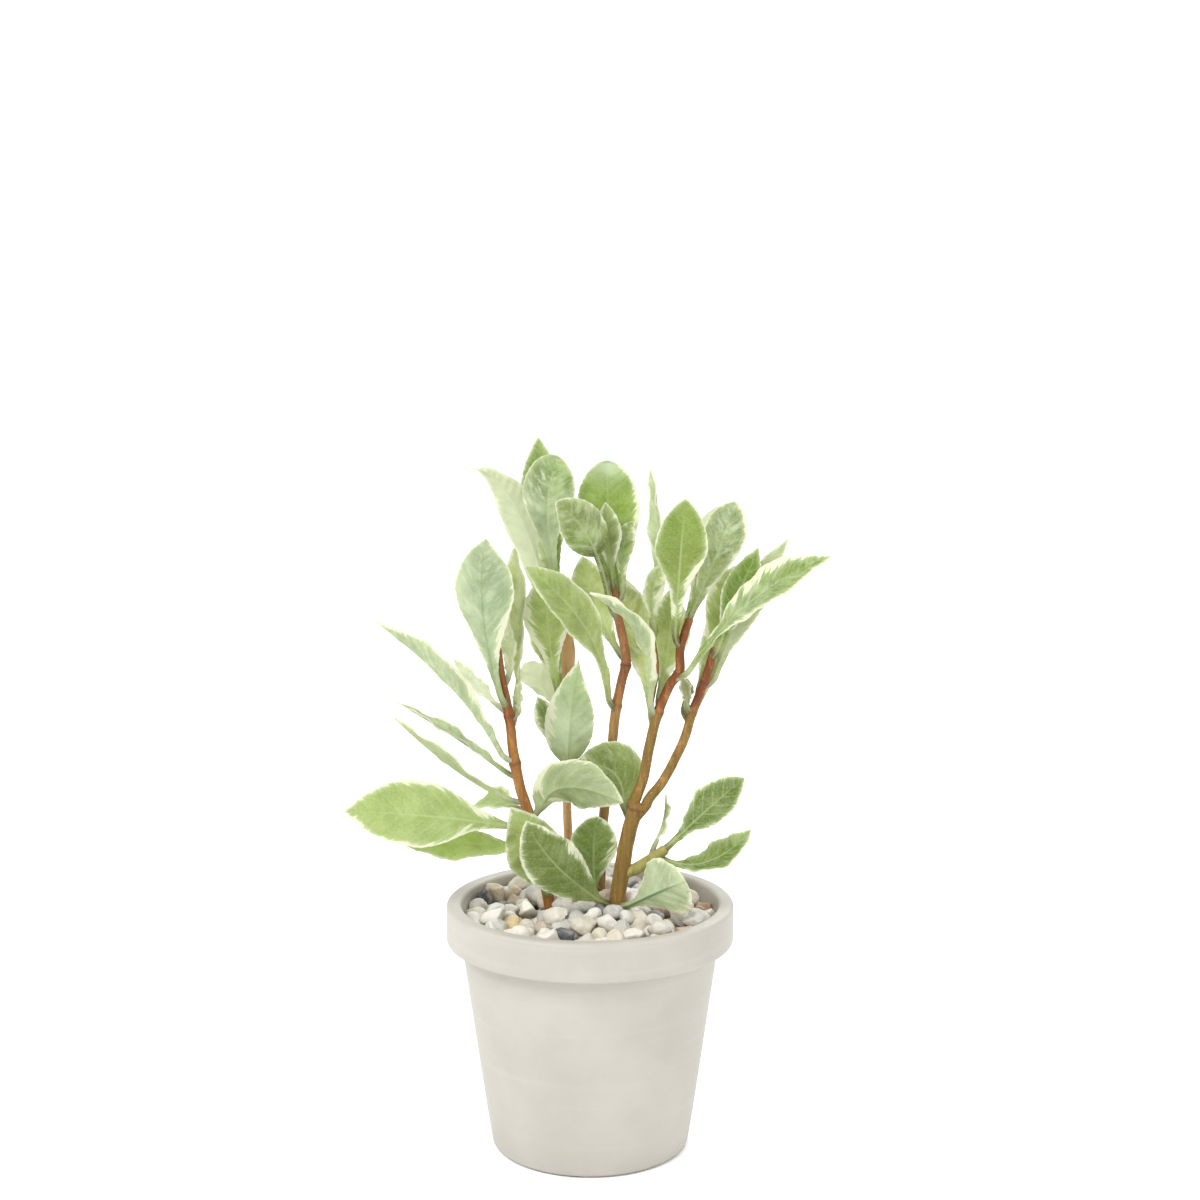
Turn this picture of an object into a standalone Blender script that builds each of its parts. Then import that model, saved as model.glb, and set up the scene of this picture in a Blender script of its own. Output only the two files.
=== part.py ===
"""Potted ludwigia: a small variegated water plant in pale gravel, in a plain round pot.

Numbers are in millimetres and become metres when a mesh is made. X runs to the right, Y runs away
from the front and Z runs up. The origin is the middle of the pot's flat base.
"""

import math
from collections import namedtuple

import bpy
from mathutils import Vector

MM = 0.001

# The clear space between pieces that touch
GAP = 0.3

# Edges that turn by more than this many degrees stay sharp
SHARP_ANGLE = 35

# The pot: a tapered cup with a thicker band round its rim and a ring of drain holes
POT_HEIGHT = 45.0
POT_BASE_RADIUS = 18.0
POT_WALL_TOP_RADIUS = 24.4
POT_WALL = 1.2
POT_FLOOR = 1.8
POT_EDGE = 0.6
RIM_RADIUS = 26.0
RIM_HEIGHT = 7.0
RIM_EDGE = 0.7
POT_SIDES = 48
DRAIN_COUNT = 6
DRAIN_RADIUS = 2.0
DRAIN_SIDES = 12
DRAIN_CIRCLE = 11.0

# The gravel: a fill that follows the pot's inner wall, with a low uneven dome on top
GRAVEL_EDGE_Z = 43.0
GRAVEL_DOME = 1.3
GRAVEL_BUMP = 0.45
GRAVEL_RINGS = (0.22, 0.42, 0.62, 0.8, 0.92)

# The stems: round, tapering shoots that swell where leaves grow from them
STEM_SIDES = 8
STEM_STEP = 3.2
ROOT_Z = 36.0
NODE_SWELL = 0.16
NODE_SPREAD = 0.9

# The leaves: thin blades on short stalks
STALK_HALF_WIDTH = 0.6
STALK_THICKNESS = 0.8
BLADE_THICKNESS = 0.5
BLADE_STATIONS = (0.0, 0.16, 0.34, 0.52, 0.71, 0.88)
ACROSS = (-1.0, -0.5, 0.0, 0.5, 1.0)

# Colours as linear red, green and blue
POT_COLOUR = (0.43, 0.41, 0.37)
GRAVEL_COLOUR = (0.66, 0.64, 0.58)
STEM_RED = (0.30, 0.09, 0.03)
STEM_OCHRE = (0.30, 0.17, 0.04)
SHOOT_GREEN = (0.30, 0.34, 0.10)
LEAF_GREEN = (0.25, 0.40, 0.09)
LEAF_PALE = (0.52, 0.62, 0.36)
POT_ROUGHNESS = 0.45
GRAVEL_ROUGHNESS = 0.6
STEM_ROUGHNESS = 0.5
LEAF_ROUGHNESS = 0.45

Stem = namedtuple("Stem", "name radii points colour nodes")
Leaf = namedtuple("Leaf", "name stem at via tip face width belly fold stalk wing taper blunt")


def stem(name, radii, points, colour, nodes=()):
    """A stem's radii at its foot and top, the points its middle passes, and the heights of its nodes."""
    return Stem(name, radii, [Vector(point) for point in points], colour, nodes)


def leaf(name, on, at, via, tip, face, width, belly=0.6, fold=12, stalk=0.06, wing=0.0, taper=1.4,
         blunt=0.85):
    """A leaf grows from stem `on` at height `at` (None is the stem's very end).

    Its midrib passes `via` halfway and ends at `tip`, and its upper side looks along `face`. belly
    is where along the blade it is widest, fold the angle that each half is raised by, and stalk
    the share of the length that is leaf stalk. wing is the share of the width that grows evenly
    from the stalk to the belly. A higher taper narrows the base, and a higher blunt the tip.
    """
    via, tip, face = Vector(via), Vector(tip), Vector(face)
    return Leaf(name, on, at, via, tip, face, width, belly, fold, stalk, wing, taper, blunt)


STEMS = [
    stem(
        "left_stem",
        (1.05, 0.8),
        [(-6.3, 0, ROOT_Z), (-7.5, 0, 45), (-11, -1, 61), (-12.5, -1, 66), (-13.7, -1, 72.5),
         (-14.3, -2, 79), (-15.6, -3, 86), (-16.3, -3.5, 91.5)],
        STEM_RED,
        (61, 70.5, 79.5),
    ),
    stem(
        "back_stem",
        (0.85, 0.7),
        [(-2.6, 7, ROOT_Z), (-3.5, 7, 45), (-4.1, 7, 56), (-4.4, 7, 68), (-4.4, 8, 80),
         (-4.0, 8.5, 89), (-4.4, 9, 100.5)],
        STEM_RED,
        (69, 80),
    ),
    stem(
        "middle_stem",
        (1.0, 0.8),
        [(1.6, 3, ROOT_Z), (1.8, 3, 46), (2.3, 3, 58), (3.6, 3, 69), (4.6, 3, 79), (5.8, 3.5, 85),
         (6.5, 4, 88), (6.0, 4, 92), (4.9, 4, 97), (4.3, 4, 101)],
        STEM_RED,
        (80.3, 87.5),
    ),
    stem(
        "main_stem",
        (1.5, 1.35),
        [(4.0, -4, ROOT_Z), (4.6, -4, 44), (5.6, -4, 51), (6.4, -4, 56), (7.3, -4, 60), (8.2, -4, 63)],
        STEM_OCHRE,
        (63,),
    ),
    stem(
        "left_fork",
        (1.0, 0.72),
        [(7.6, -4, 63.6), (8.4, -4, 65.5), (9.6, -4, 69), (10.4, -4, 73.5), (11.9, -4.5, 80),
         (14.1, -5, 85.5), (15.8, -5, 88), (15.9, -5, 92), (17.4, -5, 97)],
        STEM_RED,
        (80.5, 87.5),
    ),
    stem(
        "right_fork",
        (0.95, 0.75),
        [(9.95, -4, 63.5), (10.7, -4, 65), (13.0, -4, 68), (15.2, -3.4, 72), (17.0, -3, 76),
         (18.2, -2, 80), (20.4, -1.4, 85.5), (22.0, -1, 91)],
        STEM_RED,
        (80, 85.5),
    ),
    stem(
        "foot_shoot",
        (1.1, 0.95),
        [(8.25, -4.3, 52), (9.6, -4.8, 53), (11.4, -5.4, 54.4), (13.2, -6, 55.9)],
        SHOOT_GREEN,
    ),
    stem(
        "axil_shoot",
        (0.42, 0.36),
        [(10.7, -4.1, 81.4), (11.3, -3.3, 84), (11.9, -2.8, 88), (11.6, -2.6, 91), (10.9, -2.5, 95.4)],
        STEM_RED,
    ),
]

# The stems that stand in the gravel
PLANTED = ("left_stem", "back_stem", "middle_stem", "main_stem")

LEAVES = [
    # On the left stem
    leaf("left_leaf_1", "left_stem", 82, (-18.5, -6, 98.5), (-18, -6, 111.5), (0.3, 0.9, 0.2), 11.5,
         wing=0.15, taper=1.7),
    leaf("left_leaf_2", "left_stem", 77.5, (-12.8, 2, 93.5), (-13.3, 3, 109), (-0.85, -0.55, 0.1), 7.6,
         belly=0.65, wing=0.3, taper=2.5, blunt=0.6),
    leaf("left_leaf_3", "left_stem", 85.5, (-14.2, -1, 90.5), (-14.8, -1, 97), (-0.5, 0.8, 0.1), 3),
    leaf("left_leaf_4", "left_stem", 71.5, (-23.9, -4, 84.6), (-38, -6, 97.5), (0.6, 0.5, 0.6), 9, fold=18,
         blunt=1.0),
    leaf("left_leaf_5", "left_stem", 80, (-20.5, 8, 82.6), (-25.5, 14, 87), (0.25, -0.15, 0.97), 4),
    leaf("left_leaf_6", "left_stem", 68.5, (-24, 6, 73.6), (-35.5, 10, 79.5), (0.33, -0.03, 0.93), 6,
         blunt=1.0),
    leaf("left_leaf_7", "left_stem", 64, (-24.4, 2, 69), (-35.5, 4, 78), (0.3, 0.45, 0.8), 7, blunt=1.0),
    leaf("left_leaf_8", "left_stem", 62, (-17, 4, 62.2), (-21, 7.5, 61), (0, -0.4, 0.9), 8),
    leaf("left_leaf_9", "left_stem", 79.5, (-12.6, -1.5, 82), (-12.4, -1.2, 85.5), (-0.7, -0.6, 0.2), 2.4,
         stalk=0.14),
    leaf("left_leaf_10", "left_stem", 61, (-4.6, -2.5, 66.6), (6, -5.5, 64.4), (-0.2, 0.9, 0.3), 10.3,
         taper=0.55),
    # Round the foot of the plant
    leaf("foot_leaf_1", "left_stem", 59, (-26.5, -4.2, 61.4), (-43.5, -6, 63), (-0.05, -0.85, 0.5), 12.5,
         belly=0.63, taper=1.1),
    leaf("foot_leaf_2", "left_stem", 54.5, (-22.5, -1.5, 55.8), (-33, -3.5, 56), (0, -0.7, 0.7), 8,
         taper=1.1, blunt=1.0),
    leaf("foot_leaf_3", "main_stem", 45.7, (-5.8, -10, 54.2), (-11, -13, 63), (0, -1, 0), 9.9, belly=0.54,
         taper=0.9),
    leaf("foot_leaf_4", "left_stem", 46.7, (-9.3, -5, 54.5), (-14, -7, 64), (0, -1, 0.1), 10.5, belly=0.54,
         taper=1.0),
    leaf("foot_leaf_5", "middle_stem", 46.2, (0.6, 0, 53.5), (1.2, -0.8, 60.8), (0, -1, 0.1), 8.8,
         belly=0.62, taper=1.0, blunt=0.55),
    leaf("foot_leaf_6", "main_stem", 45.5, (11.6, -12, 49.8), (16.6, -15.2, 52.9), (0.35, 0.9, 0.1), 11.4,
         belly=0.64, blunt=0.5),
    leaf("foot_leaf_7", "foot_shoot", None, (20, -5.5, 62.3), (27.5, -4, 68.5), (-0.43, -0.75, 0.5), 8,
         wing=0.2, taper=2, blunt=0.7),
    leaf("foot_leaf_8", "foot_shoot", 55.2, (21.5, -8.5, 54.7), (28.5, -8, 60.3), (-0.1, -0.45, 0.9), 6.9,
         taper=1.0, blunt=1.0),
    leaf("foot_leaf_9", "foot_shoot", 54.4, (13.2, -2, 59.5), (13.7, 0.5, 64.5), (1, 0.2, 0), 3.5),
    # On the back stem and the main stem below its fork
    leaf("back_leaf_1", "back_stem", 98.8, (-8, 13.2, 113), (-9.5, 13.5, 128), (0, -1, 0.1), 8.5,
         blunt=0.9),
    leaf("back_leaf_2", "back_stem", 99.3, (-7.6, 4.7, 114.5), (-5.6, 5.5, 125), (0.05, -1, 0.1), 9.5,
         belly=0.67, blunt=0.5),
    leaf("back_leaf_3", "back_stem", 91, (-12.8, 9, 114.5), (-21, 4, 123), (0.1, 0.95, 0.3), 7.5,
         belly=0.42, taper=1.0, blunt=1.6),
    leaf("back_leaf_4", "back_stem", None, (-7.6, 7, 106), (-9, 6.3, 110.5), (0, -1, 0.1), 2.4, stalk=0.14),
    leaf("back_leaf_5", "back_stem", 80, (-7.4, 4, 93), (-7.6, 3, 104.5), (0, -1, 0.05), 8.8, belly=0.63,
         wing=0.25, taper=2.2),
    leaf("back_leaf_6", "back_stem", 78, (-9.5, 12, 83), (-12.5, 14, 86), (0.2, -0.6, 0.8), 7),
    leaf("back_leaf_7", "back_stem", 70.5, (-7.5, 6, 76), (-9.5, 5, 81.5), (0, -1, 0.2), 4.5),
    leaf("back_leaf_8", "back_stem", 68, (-3.6, 3, 78.5), (-2, 1.5, 89), (0, 1, 0.15), 8.8, belly=0.39,
         taper=0.8, blunt=1.1),
    leaf("back_leaf_9", "back_stem", 82, (-7, 13, 89), (-8, 19, 97), (0, -0.8, 0.6), 8),
    leaf("main_leaf_1", "main_stem", 61.5, (4.4, -0.8, 68.6), (-2.5, 0.5, 70.2), (0, -0.95, 0.25), 11,
         belly=0.5),
    # On the middle stem
    leaf("middle_leaf_1", "middle_stem", 97, (0.4, 1, 109.6), (-6, -2, 117.5), (0, -0.9, 0.4), 8.2,
         belly=0.47, stalk=0.42, taper=0.6, blunt=0.7),
    leaf("middle_leaf_2", "middle_stem", 98.5, (3.5, 7, 112.5), (3, 7, 124.2), (0.05, -1, 0.05), 11.3,
         taper=1.0, blunt=0.5),
    leaf("middle_leaf_3", "middle_stem", None, (3.4, 3.8, 109.5), (2.8, 3.6, 117), (0, -1, 0.1), 5, fold=40,
         stalk=0.14),
    leaf("middle_leaf_4", "middle_stem", 99.5, (6, 4.8, 108.5), (8, 5, 113.5), (0, -1, 0.2), 3.8),
    leaf("middle_leaf_5", "middle_stem", 89, (1.2, 11.8, 97), (-1.5, 15, 106), (0.1, -0.9, 0.4), 8),
    leaf("middle_leaf_6", "middle_stem", 80.3, (-0.5, -2.5, 94.6), (-11.5, -4, 106.5), (0.3, -0.75, 0.6), 9,
         belly=0.63, wing=0.25, taper=2.5),
    # On the left fork and the thin shoot in its axil
    leaf("fork_leaf_1", "left_fork", 78.6, (9.3, 7.5, 90), (5.5, 10.5, 103), (0.1, -0.9, 0.3), 8, wing=0.3,
         taper=2.2),
    leaf("fork_leaf_2", "left_fork", 80.5, (9, -8, 94), (0, -9, 102.5), (0.7, 0.4, 0.6), 7, fold=15,
         blunt=1.0),
    leaf("fork_leaf_3", "left_fork", 82, (14, 0, 92), (14, 1, 101.5), (0, -1, 0.05), 7.5),
    leaf("fork_leaf_4", "left_fork", 93, (15.6, -8, 107.2), (16.5, -8.5, 118.7), (0, -1, 0.1), 9.3,
         stalk=0.03, wing=0.35, taper=4, blunt=0.75),
    leaf("fork_leaf_5", "left_fork", None, (22, -2, 107.5), (25.5, -1, 117.5), (-0.1, -1, 0.1), 8.2,
         belly=0.68, wing=0.5, taper=1.0, blunt=0.6),
    leaf("fork_leaf_6", "left_fork", 94.5, (20.5, 2.3, 107), (24, 3, 116.7), (0, -1, 0.1), 7, belly=0.65),
    leaf("fork_leaf_7", "left_fork", 87.5, (27.4, -9.5, 100.5), (41.5, -11, 109), (-0.55, -0.45, 0.65), 9.5,
         belly=0.62, wing=0.2, taper=1.8, blunt=1.0),
    leaf("shoot_leaf_1", "axil_shoot", None, (12.1, -1, 110), (10.7, 2, 123), (-0.95, -0.3, 0.1), 6.5),
    leaf("shoot_leaf_2", "axil_shoot", 94, (11, -4.3, 101.5), (12.7, -5, 107), (0.3, -0.9, 0.2), 4),
    # On the right fork
    leaf("right_leaf_1", "right_fork", 90.5, (25.6, -3.8, 100.2), (29.5, -4.5, 110), (0.1, -1, 0.1), 6.4,
         blunt=1.1),
    leaf("right_leaf_2", "right_fork", 83.5, (24.2, 4.6, 97), (26.5, 6.5, 105.4), (-0.2, -1, 0), 7.6,
         belly=0.55, wing=0.2, taper=2),
    leaf("right_leaf_3", "right_fork", 85.5, (27.2, 1, 97.6), (35.5, 2, 111), (0.45, 0.85, 0.1), 6,
         blunt=1.2),
    leaf("right_leaf_4", "right_fork", 80.5, (17, -3, 83.5), (16, -3.2, 86.8), (0.5, -0.8, 0.2), 2.4,
         stalk=0.14),
    leaf("right_leaf_5", "right_fork", 79.2, (17.3, -0.6, 83), (17.2, -0.6, 86), (0.5, -0.8, 0.2), 2.2,
         stalk=0.14),
    leaf("right_leaf_6", "right_fork", 79, (22.5, 9.5, 88), (25, 16, 99), (-0.1, -0.8, 0.5), 6),
]


def clear_scene():
    for old in list(bpy.data.objects):
        bpy.data.objects.remove(old, do_unlink=True)


def make_material(name, colour, roughness):
    material = bpy.data.materials.new(name)
    material.use_nodes = True
    shader = material.node_tree.nodes["Principled BSDF"]
    shader.inputs["Base Color"].default_value = (*colour, 1.0)
    shader.inputs["Roughness"].default_value = roughness
    shader.inputs["Metallic"].default_value = 0.0
    return material


def make_object(name, points, faces, material=None):
    """A mesh object from points in millimetres, shaded smooth with sharp edges kept."""
    mesh = bpy.data.meshes.new(name)
    mesh.from_pydata([tuple(point * MM) for point in points], [], faces)
    mesh.validate()
    mesh.update()
    mesh.shade_smooth()
    mesh.set_sharp_from_angle(angle=math.radians(SHARP_ANGLE))
    made = bpy.data.objects.new(name, mesh)
    bpy.context.scene.collection.objects.link(made)
    if material is not None:
        mesh.materials.append(material)
    return made


def subtract(target, cutter):
    """Cuts one closed shape out of another and hides the cutter."""
    cutter.hide_render = True
    cutter.display_type = "WIRE"
    cut = target.modifiers.new(cutter.name, "BOOLEAN")
    cut.operation = "DIFFERENCE"
    cut.solver = "EXACT"
    cut.object = cutter


def bridge(rings):
    """Faces between rings of equal count, numbered one ring after another, and over the first ring.

    They look outward when each ring runs anticlockwise, seen from the end that the rings climb to.
    """
    count = len(rings[0])
    faces = [tuple(reversed(range(count)))]
    for i in range(len(rings) - 1):
        low, high = i * count, (i + 1) * count
        for j in range(count):
            k = (j + 1) % count
            faces.append((low + j, low + k, high + k, high + j))
    return faces


def flat_end(rings):
    """The one face that closes the last ring."""
    count = len(rings[0])
    last = (len(rings) - 1) * count
    return [tuple(last + j for j in range(count))]


def pointed_end(rings):
    """Triangles from the last ring to the one point that follows it."""
    count = len(rings[0])
    last = (len(rings) - 1) * count
    return [(last + j, last + (j + 1) % count, last + count) for j in range(count)]


def circle(radius, z, sides, x=0.0, y=0.0):
    ring = []
    for j in range(sides):
        angle = 2 * math.pi * j / sides
        ring.append(Vector((x + radius * math.cos(angle), y + radius * math.sin(angle), z)))
    return ring


def flat_list(rings):
    return [point for ring in rings for point in ring]


def outer_wall(z):
    return POT_BASE_RADIUS + (POT_WALL_TOP_RADIUS - POT_BASE_RADIUS) * z / POT_HEIGHT


def inner_wall(z):
    return outer_wall(z) - POT_WALL


def make_pot(material):
    """The outline runs from the base up the outer wall, over the rim and down inside to the floor."""
    band = POT_HEIGHT - RIM_HEIGHT
    outline = [
        (POT_BASE_RADIUS - POT_EDGE, 0.0),
        (outer_wall(POT_EDGE), POT_EDGE),
        (outer_wall(band - RIM_EDGE), band - RIM_EDGE),
        (RIM_RADIUS - RIM_EDGE, band),
        (RIM_RADIUS, band + RIM_EDGE),
        (RIM_RADIUS, POT_HEIGHT - RIM_EDGE),
        (RIM_RADIUS - RIM_EDGE, POT_HEIGHT),
        (inner_wall(POT_HEIGHT) + RIM_EDGE, POT_HEIGHT),
        (inner_wall(POT_HEIGHT - RIM_EDGE), POT_HEIGHT - RIM_EDGE),
        (inner_wall(POT_FLOOR), POT_FLOOR),
    ]
    rings = [circle(radius, z, POT_SIDES) for radius, z in outline]
    pot = make_object("pot", flat_list(rings), bridge(rings) + flat_end(rings), material)
    for i in range(DRAIN_COUNT):
        angle = 2 * math.pi * i / DRAIN_COUNT
        x, y = DRAIN_CIRCLE * math.cos(angle), DRAIN_CIRCLE * math.sin(angle)
        ends = [circle(DRAIN_RADIUS, z, DRAIN_SIDES, x, y) for z in (-1.0, POT_FLOOR + 1.0)]
        subtract(pot, make_object(f"drain_{i + 1}", flat_list(ends), bridge(ends) + flat_end(ends)))


def gravel_top(x, y):
    """The height of the gravel: a low dome with bumps about as far apart as its stones."""
    share = math.hypot(x, y) / inner_wall(GRAVEL_EDGE_Z)
    bump = math.sin(1.1 * x + 0.4 * y) * math.cos(0.9 * y - 0.3 * x + 1.0)
    return GRAVEL_EDGE_Z + GRAVEL_DOME * (1 - share * share) + GRAVEL_BUMP * bump


def make_gravel(material):
    """The fill's outer face stays one gap clear of the pot, and each planted stem has its own hole."""
    floor = POT_FLOOR + GAP
    edge = inner_wall(GRAVEL_EDGE_Z) - GAP
    rings = [circle(inner_wall(floor) - GAP, floor, POT_SIDES), circle(edge, GRAVEL_EDGE_Z, POT_SIDES)]
    for share in reversed(GRAVEL_RINGS):
        ring = circle(edge * share, 0, POT_SIDES)
        for point in ring:
            point.z = gravel_top(point.x, point.y)
        rings.append(ring)
    points = flat_list(rings) + [Vector((0, 0, gravel_top(0, 0)))]
    gravel = make_object("gravel", points, bridge(rings) + pointed_end(rings), material)
    for planted in PLANTED:
        hole, hole_faces = tube(STEM_BY_NAME[planted], extra=GAP, drop=GAP)
        subtract(gravel, make_object(f"{planted}_hole", hole, hole_faces))


def along(points, t):
    """A point of the smooth curve through the points, with t from 0 at the first to 1 at the last."""
    spans = len(points) - 1
    i = min(int(t * spans), spans - 1)
    u = t * spans - i
    before = points[i - 1] if i > 0 else 2 * points[0] - points[1]
    after = points[i + 2] if i + 2 <= spans else 2 * points[-1] - points[-2]
    a, b = points[i], points[i + 1]
    return 0.5 * (
        2 * a
        + (b - before) * u
        + (2 * before - 5 * a + 4 * b - after) * u * u
        + (3 * a - before - 3 * b + after) * u * u * u
    )


def stem_direction(points, t):
    step = 0.01
    return (along(points, min(t + step, 1.0)) - along(points, max(t - step, 0.0))).normalized()


def share_at_height(points, z):
    """How far along a stem it passes height z. Every stem climbs all the way."""
    low, high = 0.0, 1.0
    for _ in range(40):
        middle = (low + high) / 2
        if along(points, middle).z < z:
            low = middle
        else:
            high = middle
    return (low + high) / 2


def stem_radius(row, t):
    z = along(row.points, t).z
    swell = sum(math.exp(-(((z - node) / NODE_SPREAD) ** 2)) for node in row.nodes)
    return (row.radii[0] + (row.radii[1] - row.radii[0]) * t) * (1 + NODE_SWELL * swell)


def tube(row, extra=0.0, drop=0.0):
    """Points and faces of a stem, made fatter by extra and longer at its foot by drop."""
    length = sum((b - a).length for a, b in zip(row.points, row.points[1:]))
    count = max(2, round(length / STEM_STEP))
    shares = {i / count for i in range(count + 1)}
    for node in row.nodes:
        if row.points[0].z < node < row.points[-1].z - NODE_SPREAD:
            at = share_at_height(row.points, node)
            shares = {share for share in shares if abs(share - at) > 0.3 / count} | {at}
    rings = []
    for share in sorted(shares | {0.0, 1.0}):
        middle = along(row.points, share)
        forward = stem_direction(row.points, share)
        side = Vector((0, 1, 0)).cross(forward).normalized()
        other = forward.cross(side)
        radius = stem_radius(row, share) + extra
        if share == 0.0:
            middle = middle - forward * drop
        ring = []
        for j in range(STEM_SIDES):
            angle = 2 * math.pi * (j + 0.5) / STEM_SIDES
            ring.append(middle + (side * math.cos(angle) + other * math.sin(angle)) * radius)
        rings.append(ring)
    return flat_list(rings), bridge(rings) + flat_end(rings)


def make_stem(row):
    points, faces = tube(row)
    make_object(row.name, points, faces, make_material(row.name, row.colour, STEM_ROUGHNESS))


def leaf_half_width(row, t):
    """Half the leaf's width at share t of its length: an even stalk, then a blade that swells to
    the belly and closes at the tip."""
    if t <= row.stalk:
        return STALK_HALF_WIDTH
    u = (t - row.stalk) / (1 - row.stalk)
    power = math.log(0.5) / math.log(row.belly)
    swell = math.sin(math.pi * u**power)
    if u < row.belly:
        swell = row.wing * u / row.belly + (1 - row.wing) * swell**row.taper
    else:
        swell = swell**row.blunt
    return STALK_HALF_WIDTH * (1 - u) + (row.width / 2 - STALK_HALF_WIDTH * 0.5) * swell


def leaf_ring(row, t, middle, forward):
    """Eight points round the leaf: its two edges, and three each on its upper and lower side."""
    up = (row.face - row.face.dot(forward) * forward).normalized()
    side = forward.cross(up)
    half = leaf_half_width(row, t)
    raised = math.sin(math.radians(row.fold))
    if t <= row.stalk:
        thickness = STALK_THICKNESS
    else:
        thickness = BLADE_THICKNESS
    width_points = []
    for share in ACROSS:
        rise = half * raised * (0.5 * abs(share) + 0.5 * share * share)
        width_points.append(middle + side * half * share + up * rise)
    lift = up * thickness / 2
    left_edge, *inner, right_edge = width_points
    top = [point + lift for point in inner]
    bottom = [point - lift for point in reversed(inner)]
    return [left_edge, *top, right_edge, *bottom]


def leaf_curve(start, row, t):
    """The midrib: one smooth bend from the stem through `via` to the tip."""
    pull = 2 * row.via - (start + row.tip) / 2
    point = start * (1 - t) ** 2 + pull * 2 * t * (1 - t) + row.tip * t * t
    forward = ((pull - start) * (1 - t) + (row.tip - pull) * t).normalized()
    return point, forward


def leaf_start(row):
    """Where the stalk meets its stem, clear of the stem's surface by one gap."""
    on = STEM_BY_NAME[row.stem]
    if row.at is None:
        outward = stem_direction(on.points, 1.0)
        surface = on.points[-1]
    else:
        share = share_at_height(on.points, row.at)
        direction = stem_direction(on.points, share)
        middle = along(on.points, share)
        outward = row.via - middle
        outward = (outward - outward.dot(direction) * direction).normalized()
        surface = middle + outward * stem_radius(on, share)
    start = surface + outward * GAP
    for _ in range(3):
        point, forward = leaf_curve(start, row, 0.0)
        ring = leaf_ring(row, 0.0, point, forward)
        reach = max((start - corner).dot(outward) for corner in ring)
        start = surface + outward * (GAP + reach)
    return start


def make_leaf(row):
    start = leaf_start(row)
    shares = [0.0] + [row.stalk + (1 - row.stalk) * station for station in BLADE_STATIONS]
    rings = []
    for share in shares:
        point, forward = leaf_curve(start, row, share)
        rings.append(leaf_ring(row, share, point, forward))
    points = flat_list(rings) + [row.tip]
    colour = LEAF_GREEN if row.face.y < 0 else LEAF_PALE
    material = make_material(row.name, colour, LEAF_ROUGHNESS)
    make_object(row.name, points, bridge(rings) + pointed_end(rings), material)


STEM_BY_NAME = {row.name: row for row in STEMS}

clear_scene()
make_pot(make_material("pot", POT_COLOUR, POT_ROUGHNESS))
make_gravel(make_material("gravel", GRAVEL_COLOUR, GRAVEL_ROUGHNESS))
for stem_row in STEMS:
    make_stem(stem_row)
for leaf_row in LEAVES:
    make_leaf(leaf_row)
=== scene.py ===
"""The looks of a potted ludwigia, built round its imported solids.

Numbers are in millimetres unless a comment says otherwise, and become metres when a mesh is made. The
rows of stems and leaves are those of the solids, with what only the eye needs added to each.
"""

from math import acos, atan2, cos, log, radians, sin, tau
from types import SimpleNamespace

import bmesh
import bpy
import numpy as np
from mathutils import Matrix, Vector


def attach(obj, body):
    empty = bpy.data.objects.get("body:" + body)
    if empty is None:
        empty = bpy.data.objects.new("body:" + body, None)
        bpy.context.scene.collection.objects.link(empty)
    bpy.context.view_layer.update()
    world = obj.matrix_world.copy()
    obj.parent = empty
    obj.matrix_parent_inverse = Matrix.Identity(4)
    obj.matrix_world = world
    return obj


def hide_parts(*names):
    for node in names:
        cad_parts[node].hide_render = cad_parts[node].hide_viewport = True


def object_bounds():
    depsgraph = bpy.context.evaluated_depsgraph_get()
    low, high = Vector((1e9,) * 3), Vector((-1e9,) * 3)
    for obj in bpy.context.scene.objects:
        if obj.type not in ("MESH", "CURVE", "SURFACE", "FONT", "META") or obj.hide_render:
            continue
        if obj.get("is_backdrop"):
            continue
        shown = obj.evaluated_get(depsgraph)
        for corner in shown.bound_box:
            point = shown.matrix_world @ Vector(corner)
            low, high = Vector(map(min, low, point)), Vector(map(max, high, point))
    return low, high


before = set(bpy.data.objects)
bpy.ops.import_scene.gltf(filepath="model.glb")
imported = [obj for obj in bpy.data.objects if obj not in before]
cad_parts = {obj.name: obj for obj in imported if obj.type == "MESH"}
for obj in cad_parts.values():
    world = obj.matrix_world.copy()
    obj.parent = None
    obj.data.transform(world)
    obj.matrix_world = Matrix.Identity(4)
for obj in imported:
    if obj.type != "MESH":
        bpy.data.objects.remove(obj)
cad_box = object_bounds()

MM = 0.001
SEED = 20
GAP = 0.3
SHARP_ANGLE = radians(40)

# The camera stands in front of the plant and looks a little down on it
CAMERA_AT = (1.8, -345, 148.4)
CAMERA_PITCH = 8
CAMERA_LENS = 58.9

# The studio, in metres and watts
LIGHTS = (
    ("key", (-0.5, -0.6, 0.9), 0.5, 9),
    ("fill", (0.8, -0.5, 0.5), 0.7, 1.5),
    ("back", (0.3, 0.7, 0.8), 0.6, 5),
)
LIGHT_AIM = (0, 0, 0.07)
WORLD_STRENGTH = 1.04
FLOOR_SIZE = 30
FLOOR_Z = -0.0002

# The pot
POT_HEIGHT = 45
POT_BASE_RADIUS = 18
POT_WALL_TOP_RADIUS = 24.4
POT_WALL = 1.2
POT_FLOOR = 1.8
RIM_RADIUS = 26
RIM_HEIGHT = 7
POT_SIDES = 160
EDGE_ROUND = 0.8
DRAIN_COUNT = 6
DRAIN_RADIUS = 2
DRAIN_CIRCLE = 11

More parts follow.
